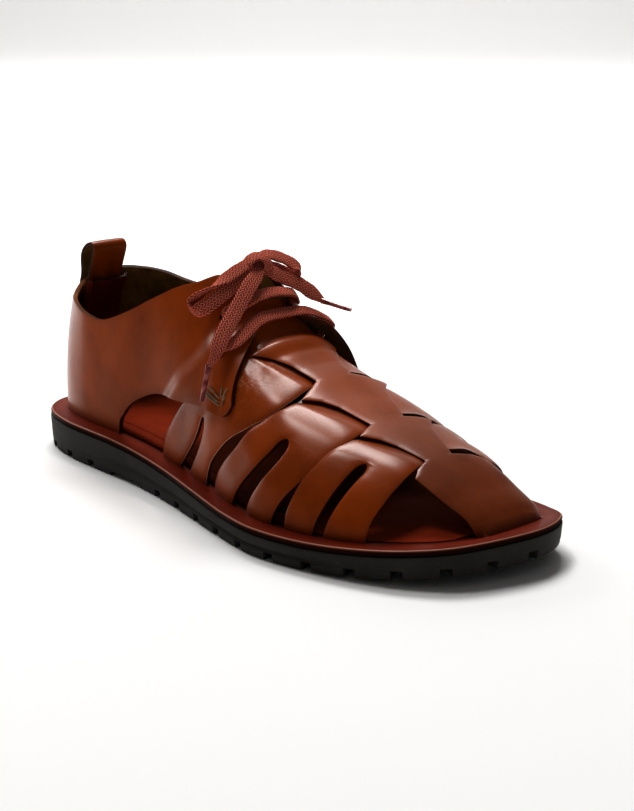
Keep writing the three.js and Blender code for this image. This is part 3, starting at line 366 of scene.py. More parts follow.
# Finishes
class Socket:
    """A shader value that takes Python's operators."""

    def __init__(self, tree, link):
        self.tree, self.link = tree, link

    def clipped(self, low=0, high=1):
        return self.tree.maths("MINIMUM", self.tree.maths("MAXIMUM", self, low), high)

    def ramp(self, start, end):
        """0 up to start, 1 from end, and smooth between them."""
        return self.tree.node("ShaderNodeMapRange", {"interpolation_type": "SMOOTHSTEP"},
                              self, start, end, 0, 1)


for sign, operation in (("add", "ADD"), ("sub", "SUBTRACT"), ("mul", "MULTIPLY")):
    setattr(Socket, f"__{sign}__", lambda one, two, way=operation: one.tree.maths(way, one, two))
    setattr(Socket, f"__r{sign}__", lambda one, two, way=operation: one.tree.maths(way, two, one))


class Finish:
    """A material made of nodes."""

    def __init__(self, name):
        self.material = bpy.data.materials.new(name)
        self.material.use_nodes = True
        self.nodes = self.material.node_tree.nodes
        self.links = self.material.node_tree.links
        self.nodes.clear()
        self.end = self.nodes.new("ShaderNodeOutputMaterial")

    def node(self, kind, settings, *values, output=0, **named):
        made = self.nodes.new(kind)
        for key, value in settings.items():
            setattr(made, key, value)
        for place, value in [*enumerate(values), *named.items()]:
            socket = made.inputs[place.replace("_", " ") if isinstance(place, str) else place]
            if isinstance(value, Socket):
                self.links.new(value.link, socket)
            elif value is not None:
                socket.default_value = value
        return Socket(self, made.outputs[output])

    def place(self):
        return self.node("ShaderNodeTexCoord", {}, output="Object")

    def noise(self, where, scale, detail=3, roughness=0.5):
        return self.node("ShaderNodeTexNoise", {}, where, None, scale, detail, roughness)

    def mapped(self, where, turn=(0, 0, 0), by=(1, 1, 1)):
        return self.node("ShaderNodeMapping", {}, where, (0, 0, 0), turn, by)

    def mark(self, name):
        return self.node("ShaderNodeAttribute", {"attribute_name": name}, output="Fac")

    def maths(self, operation, *values):
        return self.node("ShaderNodeMath", {"operation": operation}, *values)

    def parts(self, where):
        split = self.node("ShaderNodeSeparateXYZ", {}, where).link.node
        return [Socket(self, part) for part in split.outputs]

    def to_and_fro(self, value):
        """From 0 to 1 and back as value goes from one whole number to the next."""
        return self.maths("PINGPONG", value, 0.5) * 2

    def blend(self, share, first, second):
        """A mix of two colours, each a web colour or a socket."""
        first, second = [colour(c) if isinstance(c, str) else c for c in (first, second)]
        return self.node("ShaderNodeMix", {"data_type": "RGBA"}, share, *[None] * 5, first, second, output=2)

    def bump(self, height, distance, strength, over=None):
        return self.node("ShaderNodeBump", {}, Strength=strength, Distance=distance, Height=height,
                         Normal=over)

    def surface(self, base, roughness, normal=None, coat=0, coat_roughness=0.2, specular=0.5,
                tint=(1, 1, 1, 1)):
        shader = self.node("ShaderNodeBsdfPrincipled", {}, Base_Color=base, Roughness=roughness,
                           Normal=normal, Coat_Weight=coat, Coat_Roughness=coat_roughness,
                           Specular_IOR_Level=specular, Specular_Tint=tint)
        self.links.new(shader.link, self.end.inputs["Surface"])
        return self.material


def colour(code):
    """A linear colour from a web colour."""
    parts = [int(code[i:i + 2], 16) / 255 for i in (1, 3, 5)]
    return (*[c / 12.92 if c <= 0.04045 else ((c + 0.055) / 1.055) ** 2.4 for c in parts], 1)


def polished_leather(name, light, dark, gloss=0.3, coat=0.25, coat_rough=0.2, seed=0, specular=0.06):
    """Waxed full-grain leather with a fine grain: darker where the fold mark paints shade, toned at its worn
    edges, with a painted highlight line where the rim mark is set.
    """
    f = Finish(name)
    where = f.mapped(f.place(), (seed, 0.3, seed * 0.7))
    clouds = f.noise(where, 28, 4, 0.55)
    patches = f.noise(where, 90, 5, 0.6)
    pores = f.noise(where, 1500, 2, 0.6)
    grain = f.node("ShaderNodeTexVoronoi", {"feature": "DISTANCE_TO_EDGE"}, where, None, 900)
    creases = f.maths("ABSOLUTE", f.noise(where, 170, 4, 0.55) - 0.5)
    crease = (1 - creases * 16).clipped() * f.mark("crease")
    fold = f.mark("fold")
    base = f.blend((clouds.ramp(0.3, 0.75) * 0.4 + patches.ramp(0.4, 0.7) * 0.15).clipped(), light, dark)
    # Blends in order: the fold mark toward near-black as painted shade (it also roughens), worn edges, pores,
    # creases, and the rim mark toward pale pink as a painted highlight line.
    for share, code in (((fold * 0.75).clipped(), "#1d0904"), ((f.mark("worn") * 0.45).clipped(), "#8a3f16"),
                        (pores.ramp(0.62, 0.75) * 0.25, "#3a1206"), (crease * 0.35, "#c07a50"),
                        (f.mark("rim").clipped(), "#d3a08a")):
        base = f.blend(share, base, code)
    rough = (gloss + (patches - 0.5) * 0.16 + (pores - 0.5) * 0.08 + fold * 0.3).clipped(0.12, 0.9)
    ahead, _, up = f.parts(f.node("ShaderNodeNewGeometry", {}, output="Normal"))
    polish = (up.ramp(0.2, 0.75) + (0 - ahead).ramp(0.08, 0.42) * 1.8 + 0.08).clipped(0, 2)
    folds = f.bump(crease, 0.0004, 0.6, f.bump(clouds, 0.0009, 0.5))
    fine = f.bump(grain.ramp(0, 0.25) * 0.6 + pores * 0.5, 0.00006, 0.55, folds)
    return f.surface(base, rough, fine, polish * coat, coat_rough, specular, (1, 0.55, 0.35, 1))


def flesh_side(name, light, dark):
    """The unfinished back of the leather: short nap, no gloss."""
    f = Finish(name)
    where = f.place()
    nap = f.noise(where, 700, 5, 0.7)
    base = f.blend(f.noise(where, 60, 4, 0.6).ramp(0.3, 0.7), light, dark)
    base = f.blend(nap.ramp(0.5, 0.8) * 0.35, base, "#a97a45")
    return f.surface(base, 0.95, f.bump(nap, 0.0003, 0.7), specular=0.02)


def cut_edge(name, light, dark):
    """The cut edge of the leather: layered fibres, burnished with wax."""
    f = Finish(name)
    where = f.place()
    fibres = f.noise(f.mapped(where, by=(1, 1, 4)), 900, 4, 0.7)
    patches = f.noise(where, 120, 3, 0.6)
    base = f.blend((fibres.ramp(0.3, 0.7) * 0.5 + patches.ramp(0.35, 0.7) * 0.5).clipped(), dark, light)
    base = f.blend(f.mark("tan"), base, "#b06c3c")
    return f.surface(base, 0.5, f.bump(fibres, 0.0002, 0.6), specular=0.1)


upper_leather = polished_leather("upper_leather", "#a4490b", "#572205", gloss=0.36, coat=0.5, coat_rough=0.26,
                                specular=0.1)
upper_flesh = flesh_side("upper_flesh_side", "#94703a", "#664820")
upper_edge = cut_edge("upper_cut_edge", "#5a2c14", "#240d05")
# Finish of the rounded cut edges: a burnished rim, lighter and pink, which also paints a highlight line along
# every edge.
rim_burnish_highlight = polished_leather("rim_burnish_highlight", "#dfa88c", "#9a5a40", gloss=0.35, coat=0.9)
LEATHER = (upper_leather, upper_flesh, upper_edge, rim_burnish_highlight)


def braided_lace(name):
    """Flat braid: slanting strands in mirrored columns, with painted shade between them."""
    f = Finish(name)
    across, along, _ = f.parts(f.node("ShaderNodeUVMap", {"uv_map": "UVMap"}))
    column = f.to_and_fro(across * 1.5)
    strand = f.to_and_fro(along * 0.62 + column * 1.15)
    seam = column.ramp(0, 0.2) * (1 - column.ramp(0.8, 1))
    height = strand.ramp(0, 0.6) * (0.35 + seam * 0.65)
    hairs = f.noise(f.place(), 2600, 3, 0.7)
    # Colour runs with strand height: dark down between the strands as painted shade, lighter on their tops.
    base = f.blend(height, "#5c1a14", "#f6866c")
    base = f.blend(hairs.ramp(0.45, 0.8) * 0.3, base, "#f2a58e")
    return f.surface(base, 0.8, f.bump(height + hairs * 0.12, 0.0006, 0.9), specular=0.12)


def smooth_tip(name):
    """Shiny wrap with a faint streak."""
    f = Finish(name)
    streak = f.noise(f.place(), 300, 3, 0.6)
    base = f.blend(streak.ramp(0.4, 0.65), "#8a3a3c", "#c47a74")
    return f.surface(base, 0.22, f.bump(streak, 0.0002, 0.4), coat=0.6, coat_roughness=0.1)


def moulded_rubber(name):
    """Charcoal rubber with a faint cloth-like mould texture."""
    f = Finish(name)
    where = f.place()
    x, y, z = f.parts(where)
    weave = f.to_and_fro((x + y) * 900) * f.to_and_fro(z * 900)
    dust = f.noise(where, 45, 5, 0.65)
    speckle = f.noise(where, 1300, 3, 0.7)
    base = f.blend(dust.ramp(0.35, 0.75), "#2b2826", "#3a3735")
    base = f.blend(speckle.ramp(0.6, 0.8) * 0.35, base, "#575350")
    rough = (0.62 + (dust - 0.5) * 0.2).clipped(0.3, 0.95)
    return f.surface(base, rough, f.bump(weave * 0.5 + speckle * 0.6, 0.00012, 0.7), specular=0.2)


lace_braid = braided_lace("lace_braid")
lace_tip = smooth_tip("lace_tip")


# Lace
LINE_STEP = 0.8


def smooth_line(points):
    """Even steps along a smooth line: the points, their places among the given ones and their lengths."""
    points = np.asarray(points, float)
    ends = np.vstack([2 * points[0] - points[1], points, 2 * points[-1] - points[-2]])
    last, parts = len(points) - 2, 24
    places = np.r_[np.arange(parts * last) / parts, np.linspace(last, last + 1, parts)]
    i = np.minimum(places.astype(int), last)
    found, _ = spline(*[ends[i + k] for k in range(4)], (places - i)[:, None])
    walked = np.r_[0, np.cumsum(np.linalg.norm(np.diff(found, axis=0), axis=1))]
    at = np.linspace(0, walked[-1], max(6, int(round(walked[-1] / LINE_STEP))) + 1)
    line = np.stack([np.interp(at, walked, found[:, k]) for k in range(3)], 1)
    return line, np.interp(at, walked, places), at


def ribbon(name, points, facing, width, thickness, material, narrow=0, start_narrow=0):
    """A flat braid along points; facing gives the way that its face looks at each point."""
    line, places, at = smooth_line(points)
    hints = np.asarray(facing, float)
    hints = np.stack([np.interp(places, np.arange(len(hints)), hints[:, k]) for k in range(3)], 1)
    tangent = unit(np.gradient(line, axis=0))
    across = unit(np.cross(tangent, hints))
    normal = np.cross(across, tangent)
    turns = np.linspace(0, 2 * math.pi, 20, endpoint=False)
    c, s = np.cos(turns), np.sin(turns)
    flat = np.sign(c) * np.abs(c) ** 0.75
    thick = np.sign(s) * np.abs(s) ** 0.6
    share = at / at[-1]
    wide = width / 2 * (1 - narrow * ease(0.8, 1, share)) * (1 - start_narrow * (1 - ease(0, 0.2, share)))
    pinch = 1 + 0.03 * np.sin(at * 1.1) + 0.02 * np.sin(at * 2.3 + 1)
    rings = (line[:, None] + across[:, None] * (flat * (wide * pinch)[:, None])[..., None]
             + normal[:, None] * (thick * thickness / 2)[None, :, None])
    uv = np.stack(np.broadcast_arrays(flat[None, :], at[:, None]), -1).reshape(-1, 2)
    uv = np.vstack([uv, [0, at[0]], [0, at[-1]]])
    return shade(tube(name, rings, (line[0], line[-1]), material, uv)), line, at[-1]


def taper(name, start, end, diameters, material, sides=20):
    """A round tip from start to end with its diameters at even steps."""
    start, end = np.asarray(start, float), np.asarray(end, float)
    one = unit(np.cross(unit(end - start), [0.3, 0.2, 1]))
    two = np.cross(unit(end - start), one)
    turns = np.linspace(0, 2 * math.pi, sides, endpoint=False)
    circle = np.cos(turns)[:, None] * one + np.sin(turns)[:, None] * two
    rings = np.array([mix(start, end, share) + circle * diameter / 2
                      for share, diameter in zip(np.linspace(0, 1, len(diameters)), diameters)])
    return shade(tube(name, rings, (start, end), material), 40)


LACE_WIDTH = 7
LACE_THICKNESS = 1.6
KNOT_MIDDLE = np.array([142, -5.5, 103.6])
BOW = {
    "lace_loop_outer": (
        [(143.2, -7.5, 102.9), (143.5, -12, 101.2), (143.5, -18, 97.3), (142.3, -27.5, 92), (139.6, -33, 88),
         (136, -36.5, 86.4), (133.8, -36.5, 89.2), (135.4, -33.5, 92), (137.7, -28, 95.2),
         (140.4, -21.5, 99.2), (141.6, -15, 102.6), (141.6, -9, 104.6)],
        [(0.5, -0.6, 0.6), (0.5, -0.6, 0.6), (0.5, -0.75, 0.45), (0.6, -0.75, 0.4), (0.4, -0.8, 0.1),
         (-0.2, -0.8, -0.6), (-0.9, -0.5, 0.2), (-0.6, 0.4, 0.8), (-0.35, 0.1, 0.9), (0.3, -0.5, 0.8),
         (0.5, -0.6, 0.7), (0.5, -0.6, 0.7)]),
    "lace_loop_inner": (
        [(141.2, -4, 105.4), (139.8, -0.4, 106), (139.2, 5, 105.9), (142.4, 10, 103.9),
         (145.8, 13.5, 100.8), (147.5, 14, 98), (145.2, 12, 96.7), (143.6, 8.5, 99), (142.6, 3.5, 101.2),
         (142.6, -2, 103)],
        [(0.6, -0.5, 0.8), (0.5, -0.4, 0.9), (0.5, -0.2, 0.9), (0.7, 0.1, 0.8), (0.9, 0.2, 0.5),
         (0.5, 0.8, -0.3), (-0.5, 0.3, -0.8), (-0.6, 0, -0.8), (-0.6, 0, -0.8), (-0.6, 0, -0.8)]),
    "lace_end_outer": (
        [(144, -6, 102.2), (146.8, -9.6, 100.2), (149.4, -16.5, 96.2), (152.6, -27, 87),
         (155.4, -36, 79.4), (157.9, -42.7, 71.5), (155.9, -44.7, 66.8)],
        [(0.7, -0.55, 0.5)] * 2 + [(0.7, -0.6, 0.45)] * 5),
    "lace_end_inner": (
        [(143.2, -4, 102), (144.8, -1.2, 100.2), (146.2, 4.6, 97.3), (150.8, 11.2, 93.8),
         (155.2, 16.2, 89), (158.4, 18.5, 86.3)],
        [(0.75, -0.3, 0.7)] * 6),
}
TIPS = {"lace_end_outer": (2, -5.6, -13.5), "lace_end_inner": (15.1, 2.5, -2)}
TIP_LENGTH = 14


def make_bow():
    """A bow with its two loops and two ends; one strand is wrapped over the others."""
    wrap = [(141, -10.6, 104), (141.8, -9, 106), (142.4, -5.8, 107), (143.4, -2.4, 105.6),
            (144.8, -1.6, 102.6), (145.2, -3.2, 100)]
    out = [(-0.1, -0.9, 0.4), (0.1, -0.6, 0.8), (0.3, -0.1, 0.95), (0.6, 0.2, 0.7), (0.85, 0.3, 0.3),
           (0.9, 0.1, -0.4)]
    knot, *_ = ribbon("lace_knot_wrap", wrap, out, 6.8, 1.7, lace_braid)
    core = taper("lace_knot_core", KNOT_MIDDLE + (-0.6, -5.4, 0.6), KNOT_MIDDLE + (0.6, 4.6, -0.6),
                 [2, 5, 6.4, 6.8, 6.2, 4.4, 2], lace_braid)
    fix(knot, None, "lace_knot")
    fix(core, None, "lace_knot")
    for name, (points, facing) in BOW.items():
        is_end = name in TIPS
        made, line, length = ribbon(name.replace("lace", "braid"), points, facing, LACE_WIDTH,
                                    LACE_THICKNESS, lace_braid, narrow=0.6 if is_end else 0.2,
                                    start_narrow=0.35)
        fix(made, None, name)
        pieces = [knot, core] if name == "lace_loop_outer" else []
        if is_end:
            way = unit(np.array(TIPS[name], float))
            tip = taper(name.replace("lace_end", "braid_tip"), line[-1] - way * 0.6,
                        line[-1] + way * (TIP_LENGTH + 1.2), [2.7, 2.5, 2.2, 2.1, 2.1, 2.1, 2, 1.7],
                        lace_tip)
            fix(tip, None, name.replace("end", "tip"))
            pieces.append(tip)


# Upper: tables of the quarter, the bands and the centre strap
QUARTER = table("foot low top outer inner",
    (0, 0, 0, 1000, 1000), (27, 0, 27, 960, 1004), (60, 0, 57, 885, 1006), (80, 0, 74, 873, 1005),
    (100, 0, 92, 864, 1004), (122, 0, 115, 851, 999), (145, 0, 140, 838, 992), (200, 0, 184, 823, 974),
    (247, 0, 222, 852, 968), (250, 500, 235, 869, 972), (262, 630, 255, 898, 982),
    (285, 770, 282, 940, 1003), (315, 875, 315, 1000, 1035), (352, 960, 346, 1054, 1075),
    (391, 995, 376, 1108, 1120), (434, 1010, 403, 1146, 1152), (470, 1040, 422, 1170, 1174),
    (510, 1060, 435, 1194, 1196), (542, 1040, 446, 1211, 1211), (556, 1050, 455, 1214, 1214),
    (566, 1090, 462, 1214, 1214), (571, 1165, 466, 1213, 1213))
FACING_BOW = 3.4
FACING_START = 0.747
EYELETS = ((0.873, 0.42), (0.873, 0.7))
EYELET = 4.4
BAND_ROWS = {
    "a": table("back backUp front frontUp",
        (371, 0, 512, 0), (381, 50, 524, 50), (400, 100, 544, 120), (433, 190, 577, 250),
        (470, 300, 609, 380), (500, 420, 636, 530), (520, 570, 645, 680), (537, 700, 640, 840),
        (545, 765, 631, 920), (557, 850, 622, 975)),
    "b": table("back backUp front frontUp",
        (539, 0, 695, 0), (550, 50, 704, 60), (570, 120, 716, 140), (590, 210, 729, 240),
        (611, 350, 742, 370), (634, 500, 751, 520), (646, 620, 755, 670), (650, 710, 751, 820),
        (652, 775, 742, 920), (664, 860, 733, 975)),
    "c": table("back backUp front frontUp",
        (720, 0, 844, 0), (723, 60, 846, 80), (727, 120, 848, 170), (732, 200, 851, 280),
        (738, 330, 853, 410), (745, 500, 853, 550), (750, 630, 851, 680), (752, 740, 846, 810),
        (754, 810, 840, 910), (768, 890, 830, 970)),
}
LEG_COLUMNS, BAND_STEPS = 15, 64
BAND_FACE = (1, 1, 1, 1, 1.15, 1.6, 2, 1.9, 1.2, 0.9)
SLITS = {"a": (0.427, 0.459, 0.497, 0.215, 3.2), "b": (0.596, 0.638, 0.687, 0.5, 5),
         "c": (0.768, 0.785, 0.8, 0.62, 4.6)}
CENTRE = table("at outer inner plaitOuter plaitInner face",
    (490, 150, 150, 110, 110, 1000), (503, 225, 215, 190, 180, 1000), (527, 270, 262, 240, 232, 1300),
    (545, 286, 280, 195, 195, 2000), (566, 292, 286, 147, 147, 2000), (590, 292, 286, 115, 112, 2000),
    (631, 292, 286, 96, 75, 2000), (640, 292, 286, 140, 130, 2000), (652, 292, 286, 212, 205, 2000),
    (670, 288, 280, 163, 158, 2000), (692, 282, 275, 130, 125, 2000), (742, 265, 258, 96, 68, 2000),
    (748, 262, 256, 140, 125, 2000), (755, 258, 252, 180, 172, 2000), (775, 248, 240, 132, 126, 1960),
    (797, 232, 226, 105, 98, 1900), (840, 196, 190, 82, 52, 1700), (848, 188, 184, 140, 130, 1640),
    (858, 182, 182, 178, 178, 1550), (885, 174, 190, 172, 188, 1300), (913, 163, 200, 161, 198, 1000),
    (936, 150, 196, 149, 195, 1000), (950, 142, 184, 141, 183, 1000), (961, 135, 172, 135, 172, 1000))
LAST_END = 0.961
LAST_HEIGHT = 75
TOE_END_BACK = 1.7
TOE_END_CURVE = 40


quarter_curve = {name: numbered(QUARTER, name) for name in QUARTER}


def quarter_lift(station, side, up, share, v):
    """Over the last, then over the first band, and held to it at its lower corner."""
    band_back = np.interp(up, BAND_ROWS["a"]["backUp"], BAND_ROWS["a"]["back"])
    cover = ease(0, 0.035, station / LENGTH - (band_back - 0.05))
    layers = mix(1, 2, ease(0.3, 0.6, up)) * WALL
    held = (1 - ease(0.4, 0.47, up)) * ease(0.525, 0.545, station / LENGTH)
    flare = np.where(side < 0, 0.2, 4) * np.sin(math.pi * v) * ease(0.82, 1, share)
    return cover * (layers + mix(0.4, -0.25, held)) + flare


def quarter_place(share, side, v):
    """Where a point of the hide lies on the last; share runs from the heel to the facing, v upward."""
    share, side, v = np.broadcast_arrays(share, side, v)
    bow = FACING_BOW * np.sin(math.pi * v) * ease(FACING_START, 0.955, share)
    face_x = mix(quarter_curve["foot"](share), quarter_curve["top"](share), v) * LENGTH + bow
    floor = section(face_x, side)[5]
    low = np.maximum(quarter_curve["low"](share) * ARCH_WINDOW_HEIGHT, floor)
    high = np.where(side < 0, quarter_curve["outer"](share), quarter_curve["inner"](share))
    face_z = mix(low, high * COLLAR_HEIGHT, v)
    up = up_at_height(face_x, side, face_z)
    station, under, step, turn, rounds = face_x - WALL, np.minimum(up, 0.9), 0.2, 0.004, 12
    for _ in range(rounds):
        here = over_last(station, side, under, 2 * WALL)
        ahead = (over_last(station + step, side, under, 2 * WALL) - here) / step
        higher = (over_last(station, side, under + turn, 2 * WALL) - here) / turn
        spread = ahead[..., 0] * higher[..., 2] - ahead[..., 2] * higher[..., 0]
        spread = np.where(np.abs(spread) < 1e-6, 1e-6, spread)
        miss_x, miss_z = face_x - here[..., 0], face_z - here[..., 2]
        station = station + np.clip((miss_x * higher[..., 2] - miss_z * higher[..., 0]) / spread, -2, 2)
        under += np.clip((miss_z * ahead[..., 0] - miss_x * ahead[..., 2]) / spread, -0.06, 0.06)
        under = np.clip(under, 0.02, 0.97)
    fit = ease(0.5, FACING_START, share)
    return mix(face_x, station, fit), side, mix(up, under, fit), share, v


def quarter_point(share, side, v, walls, extra=0):
    station, side, up, share, v = quarter_place(share, side, v)
    return over_last(station, side, up, quarter_lift(station, side, up, share, v) + walls * WALL + extra)


# Columns left out beside the middle of the heel, where the two halves of the hide would cross
HEEL_LEFT_OUT = 3
QUARTER_COLUMNS, QUARTER_ROWS = 165, 58


def make_quarter():
    """One hide from facing to facing round the heel, with its eyelets cut."""
    half = np.union1d(np.linspace(0, 1, QUARTER_COLUMNS)[HEEL_LEFT_OUT:], np.linspace(0.378, 0.432, 14))
    walk, side = np.r_[half[::-1], half], np.repeat([-1, 1], len(half))
    v, share = np.meshgrid(np.r_[0, np.linspace(0, 1, QUARTER_ROWS)], walk, indexing="ij")
    station, side, up, _, _ = quarter_place(share, side, v)
    uneven = 0.35 * waves(station, up * 90 + side * 40, 34, 3) * ease(0, 0.2, v) * ease(0, 0.12, 1 - v)
    pull = 0.5 * hump(0.8, 0.05, share) * hump(0.35, 0.2, v)
    lift = quarter_lift(station, side, up, share, v) + WALL + uneven - pull
    points = over_last(station, side, up, lift)
    seated = quarter_curve["low"](walk) < 0.02
    points[0, seated, 2] -= SEAT_DEPTH
    points[0, ~seated] += (points[1] - points[2])[~seated] * 0.02
    edge = np.clip(np.minimum(v * 14, (1 - v) * 16), 0, 1)
    cutters = []
    for number, (fold, height) in enumerate(EYELETS):
        for way in SIDES:
            ends = [quarter_point(fold, way, height, walls).ravel() for walls in (-1.2, 2.4)]
            cutters.append(taper(f"eyelet_cutter_{number}_{way}", *ends, [EYELET] * 2, upper_edge, 24))
    tan = 0.8 * ease(0.96, 1, v) * (1 - ease(0, mix(0.35, 0.08, side > 0), share))
    # The fold mark paints shade along the hide's foot, where it meets the footbed.
    made = leather("quarter", points, {"worn": (1 - edge) * 0.5, "fold": 0.25 * (1 - ease(0, 0.12, v)),
                                       "tan": tan}, thickness=WALL, cutters=cutters)
    fix(made, "upper_leather", "upper")


def make_band(name, side):
    """A band from its foot to the plait, parted into two legs by its slit."""
    band = dict(BAND_ROWS[name], face=np.array(BAND_FACE, float))
    curves = {key: numbered(band, key) for key in band}
    start, end, top, top_up, tip = SLITS[name]
    steps = np.linspace(0, 1, BAND_STEPS)
    middle_up = (curves["backUp"](steps) + curves["frontUp"](steps)) / 2
    near_tip = top_up * (1 - 0.14 * (1 - np.sin(np.linspace(0, math.pi / 2, 8))))
    steps = np.union1d(steps, np.interp(near_tip, middle_up, steps))
    rows = len(steps)
    back, back_up, front, front_up, face = [curves[key](steps)[:, None] for key in band]
    share = np.linspace(0, 1, 200)
    slit_up = share * top_up
    slit_at = mix((start + end) / 2, top, 1 - (1 - share) ** 2)
    close = np.clip((share - 0.86) / 0.14, 0, 1)
    slit_wide = mix((end - start) * LENGTH, tip, share**0.7) * np.sqrt(1 - close**2) / LENGTH
    middle = np.full((rows, 1), 0.5)
    for _ in range(40):
        up = mix(back_up, front_up, middle)
        at = np.interp(up, slit_up, slit_at)
        middle = np.clip(middle + 0.6 * (at - mix(back, front, middle)) / (front - back), 0.05, 0.95)
    up = mix(back_up, front_up, middle)
    wide = np.where(up < top_up, np.interp(up, slit_up, slit_wide) / (front - back), 0)
    open_rows = int(np.sum(wide > 1e-4))
    above = np.linspace(0, 1, rows - open_rows)[:, None]
    middle[open_rows:] = mix(middle[open_rows - 1], 0.5, ease(0, 1, above))
    if side > 0:
        front = front - 0.007 * ease(0.5, 0.75, back_up)
    t = np.linspace(0, 1, LEG_COLUMNS)
    u = np.hstack([t * (middle - wide / 2), mix(middle + wide / 2, 1, t)])
    station, up = mix(back, front, u) * LENGTH, mix(back_up, front_up, u)
    span = (front - back) * LENGTH
    beside, above = (np.abs(u - middle) - wide / 2) * span, (up - top_up) * LAST_HEIGHT
    slit_edge = np.hypot(np.maximum(beside, 0), np.maximum(above, 0))
    edge = np.maximum(np.minimum(np.minimum(u, 1 - u) * span, slit_edge), 0)
    if side > 0:
        face = 1 + (face - 1) * 0.1
    raised = 2.4 * (side > 0) * np.exp(-(1 - u) * span / 2.5) * hump(0.85, 0.14, up)
    lift = (face * WALL + raised - 0.55 * np.exp(-edge / 1.6) + 0.35 * np.sin(math.pi * u) ** 0.7
            + 0.3 * waves(station, up * 80, 26, ord(name) + 10 * side) * ease(0, 0.12, up))
    if name == "a":
        creased = hump(0.62, 0.16, up) * hump(0.3, 0.28, u)
        lift = lift + creased * 0.45 * waves(station * 1.2 + up * 60, up * 130, 8, 21)
    points = over_last(station, side, up, lift)
    points = np.vstack([points[:1] - [0, 0, SEAT_DEPTH], points])
    across = 2 * LEG_COLUMNS - 1
    faces = [face for n, face in enumerate(grid_faces(rows + 1, across + 1, flip=side > 0))
             if n % across != LEG_COLUMNS - 1 or n // across > open_rows]
    tuck = np.r_[0, steps][:, None]
    worn = np.exp(-np.vstack([edge[:1], edge]) / 1.2) * 0.5
    crease = (hump(0.6, 0.2, up) * hump(0.35, 0.3, u) if name == "a"
              else 0.25 * hump(0.7, 0.15, up) * hump(0.2, 0.2, u))
    crease = np.vstack([crease[:1], crease])
    # Painted shade: dark where the band runs in under the centre strap and along its foot at the footbed.
    fold = 0.8 * ease(0.86, 0.97, tuck) + 0.35 * (1 - ease(0, 0.06, tuck))
    made = new_object(f"band_{name}_{SIDES[side]}", points, faces, LEATHER,
                      marks={"worn": worn, "crease": crease, "fold": fold})
    merged(made, 0.004)
    solid(made, round_edge=0.7)
    fix(made, "upper_leather", "upper")


def toe_front(across, back):
    """Where the last ends toward the toe, less a distance."""
    return LAST_END * LENGTH - TOE_END_BACK - back - TOE_END_CURVE * (across / BALL_WIDTH) ** 2


def strap_grid(outer, inner, stations, columns, lift):
    """A sheet over the last between two half widths in the table of the centre strap."""
    u = np.linspace(-1, 1, columns)[None]
    left, right = [np.interp(stations, CENTRE["at"], CENTRE[key])[:, None] * BALL_WIDTH
                   for key in (outer, inner)]
    across = np.where(u < 0, u * left, u * right)
    across = np.where(np.abs(across) < 1e-3, -1e-3, across)
    station = stations[:, None] * LENGTH + 0 * across
    side, up = up_across(station, across)
    edge = (1 - np.abs(u)) * np.where(u < 0, left, right)
    return over_last(station, side, up, lift(station, across, edge)), across, edge


def make_centre_strap():
    stations = np.union1d(np.linspace(0.49, 0.95, 170), CENTRE["at"][CENTRE["at"] <= 0.95])
    face = smooth_column(CENTRE, "face")

    def lift(station, across, edge):
        share = station / LENGTH
        return (face(share) * WALL + 0.3 * waves(station, across * 1.4, 30, 31)
                + 0.45 * hump(0.548, 0.01, share) - 0.3 * hump(0.565, 0.008, share)
                - 0.4 * np.exp(-edge / 1.4))

    points, across, edge = strap_grid("plaitOuter", "plaitInner", stations, 57, lift)
    y = across[-1] * 0.97
    x = toe_front(y, -WALL)
    end = np.stack([x, y, footbed_height(x)], -1)
    points = np.concatenate([points, [end, end - [0, 0, SEAT_DEPTH]]])
    worn = 0.5 * np.exp(-np.vstack([edge, edge[-1:], edge[-1:]]) / 1)
    # The fold mark darkens and roughens the strap toward its toe end.
    toe = 0.5 * ease(0.74, 0.9, np.r_[stations, [stations[-1]] * 2])
    made = leather("centre_strap", points, {"worn": worn, "fold": toe[:, None]}, even=False)
    fix(made, "upper_leather", "upper")
    # The margin under the plait: fold 1.4 paints it near-black as shade in the gaps, and its rounded edges
    # take the dark cut-edge finish instead of the rim highlight.
    points, *_ = strap_grid("outer", "inner", np.linspace(0.492, 0.838, 110), 41, lambda *_: WALL - 0.1)
    made = leather("strap_margin", points, {"fold": 1.4}, (*LEATHER[:3], upper_edge), thickness=1.6,
                   even=False)
    fix(made, "upper_leather", "upper")


make_quarter()
for band in BAND_ROWS:
    for way in SIDES:
        make_band(band, way)
make_centre_strap()


# Sole
ROUND_STEPS = 261
MIDDLE_INSET = 12


def make_layer(name, rows, material, cutters=(), marks=None, front=None):
    """A closed layer that follows the outline: each row is an inset, a height and a pull to the middle."""
    half = np.linspace(0, 1, ROUND_STEPS)
    half = mix(half, (1 - np.cos(math.pi * half)) / 2, 0.35)
    share = np.r_[half, half[-2:0:-1]]
    side = np.repeat([-1, 1], (len(half), len(half) - 2))
    middle = (np.array(outline(share, -1, MIDDLE_INSET)) + outline(share, 1, MIDDLE_INSET)) / 2
    rough_x = outline(share, side, 0)[0]
    rings = []
    for inset, height, pull in rows:
        x, y = mix(np.array(outline(share, side, inset(rough_x) if callable(inset) else inset)), middle, pull)
        if front:
            x = np.minimum(x, front(y))
        rings.append(np.stack([x, y, height(x)], -1))
    points = np.array(rings)
    marks = {key: values(points[..., 0]) if callable(values) else np.array(values)[:, None]
             for key, values in (marks or {}).items()}
    made = new_object(name, points, grid_faces(len(rows), len(share), around=True), [material], marks=marks)
    merged(made, 0.02)
    if cutters:
        baked(made, *cuts(cutters))
        baked(made, rounded(0.35, 1, 60))
    return shade(made, 50)


